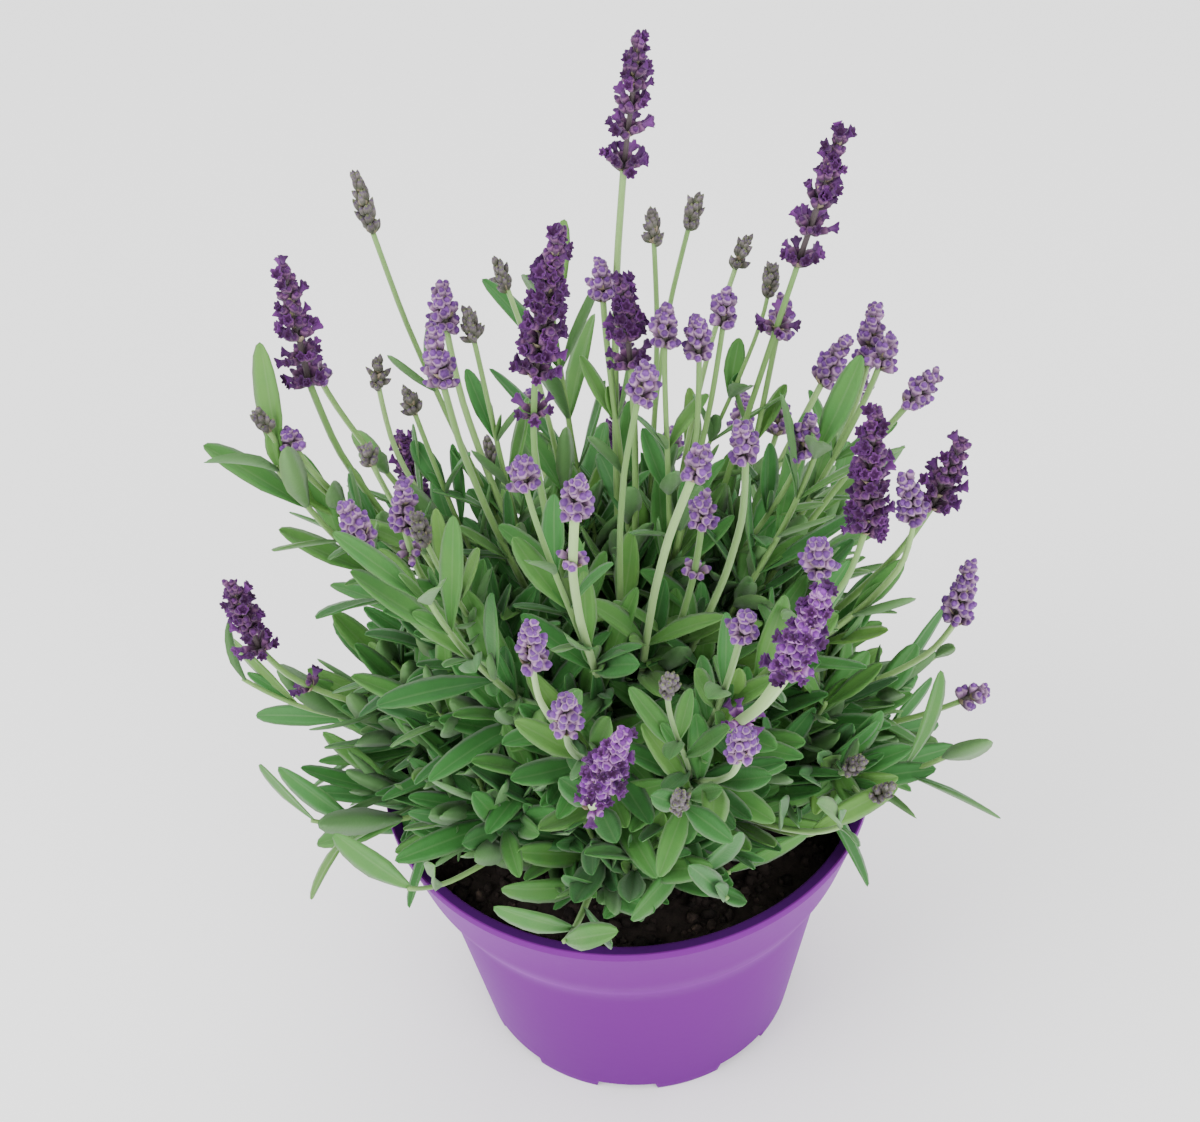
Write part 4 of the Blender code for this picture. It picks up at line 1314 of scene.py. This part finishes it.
def makeSoil():
    # a disc whose height follows several layers of smooth random values, fine crumbs on it, and a
    # plain body below that follows the pot's inside
    edge = rimRadius - soilLook["edge"]
    top = soilTop - soilLook["drop"]
    share = np.linspace(0.01, 1, soilLook["rows"])
    turns = turnsOf(soilLook["columns"])
    radius = share[:, None] * edge
    level = np.zeros((len(share), len(turns)))
    flat = np.stack([radius * np.cos(turns), radius * np.sin(turns), level], axis=-1)
    lumps = lumpsAt(flat, 3)
    fade = np.clip((1 - share) / soilLook["fade"], 0, 1)[:, None]
    heap = soilLook["heap"] * (1 - share[:, None] ** 2)
    flat[..., 2] = top + heap + lumps * (soilLook["least"] + (1 - soilLook["least"]) * fade)
    floor = potLook["channelHeight"] + potLook["wall"] + soilLook["clear"]
    sides = [np.stack([reach * np.cos(turns), reach * np.sin(turns), np.full(len(turns), height)], axis=-1)
             for reach, height in soilSides(edge, top, floor)]
    grid = np.concatenate([flat, np.array(sides)])[::-1]
    growth = Growth()
    growth.add(grid[None], onAxis(floor), onAxis(flat[0, :, 2].mean()), 0, np.linspace(0, 1, len(grid)),
               np.zeros(len(turns)), soilLook["tone"])
    addCrumbs(growth, edge, top)
    finish = Finish("soil_surface", 0.95, Specular_IOR_Level=0.2)
    grain = finish.noise(420.0, 5.0, 0.7)
    tone = finish.sums("MULTIPLY", finish.value("tone"), 0.45)
    shade = finish.sums("ADD", finish.sums("MULTIPLY", grain, 0.75), tone)
    finish.colour(finish.ramp(shade, (0.35, soilLook["dark"]), (0.8, soilLook["brown"]),
                              (0.98, soilLook["pale"])))
    finish.bump(grain, 0.6, 0.0008)
    standsFor(growth.piece("peat_soil", (finish,)), "potting_soil", "potting_soil")


crownLook = {
    "rows": 40,
    "columns": 120,
    "rises": (-0.35, 0.5 * math.pi - 0.04),     # radians, from under the soil to the top
    "size": 0.97,           # against the frame's crown
    "sunken": 0.002,
    "ridges": 9,
    "ridgeHeight": 0.07,
    "ridgeWander": 3,
    "knobs": 0.06,
    "dark": screen(52, 40, 30),
    "pale": screen(122, 98, 72),
}


def makeCrown():
    # a low dome of old wood whose radius follows a sine of the turn, bent by smooth random values
    rows, columns = crownLook["rows"], crownLook["columns"]
    turns = turnsOf(columns)
    height = float(crownHigh[2]) - soilTop
    way = ballRings(np.linspace(*crownLook["rises"], rows), columns)
    size = np.array([crownRadius, crownRadius, height]) * crownLook["size"]
    bend = crownLook["ridgeWander"] * cloud(way * 0.02, 0.02, 8)
    ridges = 1 + crownLook["ridgeHeight"] * np.sin(crownLook["ridges"] * turns + bend)
    ridges = ridges + crownLook["knobs"] * cloud(way * 0.03, 0.006, 9)
    grid = np.array([0, 0, soilTop - crownLook["sunken"]]) + way * size * ridges[..., None]
    growth = Growth()
    growth.add(grid[None], onAxis(grid[0, :, 2].mean()), onAxis(grid[-1, :, 2].max()), 0,
               np.linspace(0, 1, rows), np.zeros(columns), 0.5)
    finish = Finish("bark_surface", 0.9)
    grain = finish.noise(240.0, 4.0, 0.6, (1.0, 1.0, 0.3))
    finish.colour(finish.ramp(grain, (0.3, crownLook["dark"]), (0.7, crownLook["pale"])))
    finish.bump(grain, 0.6, 0.001)
    standsFor(growth.piece("old_wood_crown", (finish,)), "woody_bark", "woody_crown")


stage = {
    "rise": 40.6,               # degrees of the camera above level
    "roll": -3.58,
    "reach": 0.640,             # metres from the aim
    "aim": (-0.005, 0.0, 0.205),
    "lens": 60.0,
    "floorSize": 8.0,
    "floor": 0.95,
    "sky": 1.68,
    "lamps": (                  # name, place, watts and size
        ("key_light", (-1.3, -0.7, 1.3), 28.0, 1.2),
        ("fill_light", (0.8, -1.3, 0.7), 24.0, 1.3),
        ("back_light", (0.2, 1.1, 1.6), 8.0, 1.4),
    ),
    "lampAim": (0, 0, 0.15),
}


def makeStage():
    # the camera looks from the front, down at its rise and tipped by its roll
    rise, roll = math.radians(stage["rise"]), math.radians(stage["roll"])
    back = np.array([0.0, -math.cos(rise), math.sin(rise)])
    level = np.array([1.0, 0.0, 0.0])
    up = np.cross(back, level)
    place = np.eye(4)
    place[:3, 0] = math.cos(roll) * level + math.sin(roll) * up
    place[:3, 1] = math.cos(roll) * up - math.sin(roll) * level
    place[:3, 2] = back
    place[:3, 3] = np.array(stage["aim"]) + back * stage["reach"]
    camera = bpy.data.objects.new("camera", bpy.data.cameras.new("camera"))
    camera.matrix_world = Matrix(place.tolist())
    camera.data.lens = stage["lens"]
    camera.data.sensor_width = 36.0
    camera.data.clip_start = 0.01
    bpy.context.scene.collection.objects.link(camera)
    bpy.context.scene.camera = camera

    half = stage["floorSize"] / 2
    mesh = bpy.data.meshes.new("floor")
    corners = [(-half, -half, 0), (half, -half, 0), (half, half, 0), (-half, half, 0)]
    mesh.from_pydata(corners, [], [(0, 1, 2, 3)])
    floor = bpy.data.objects.new("floor", mesh)
    bpy.context.scene.collection.objects.link(floor)
    plain = Finish("floor_surface", 0.9, Base_Color=(stage["floor"], stage["floor"], stage["floor"], 1.0))
    mesh.materials.append(plain.material)

    for name, spot, power, size in stage["lamps"]:
        light = bpy.data.lights.new(name, "AREA")
        light.energy = power
        light.size = size
        lamp = bpy.data.objects.new(name, light)
        lamp.location = spot
        aim = Vector(stage["lampAim"]) - Vector(spot)
        lamp.rotation_euler = aim.to_track_quat("-Z", "Y").to_euler()
        bpy.context.scene.collection.objects.link(lamp)
    world = bpy.data.worlds.new("studio")
    world.use_nodes = True
    sky = world.node_tree.nodes["Background"]
    sky.inputs["Color"].default_value = (1.0, 1.0, 1.0, 1.0)
    sky.inputs["Strength"].default_value = stage["sky"]
    bpy.context.scene.world = world


makeStage()
print("stage set")
makePot()
makeSoil()
makeCrown()
print("pot, soil and crown made")
for stalk in nodesLike("flower_stalk_"):
    makeStalk(stalk)
print("flower stalks made")
makeShoots()
print("leafy shoots made")
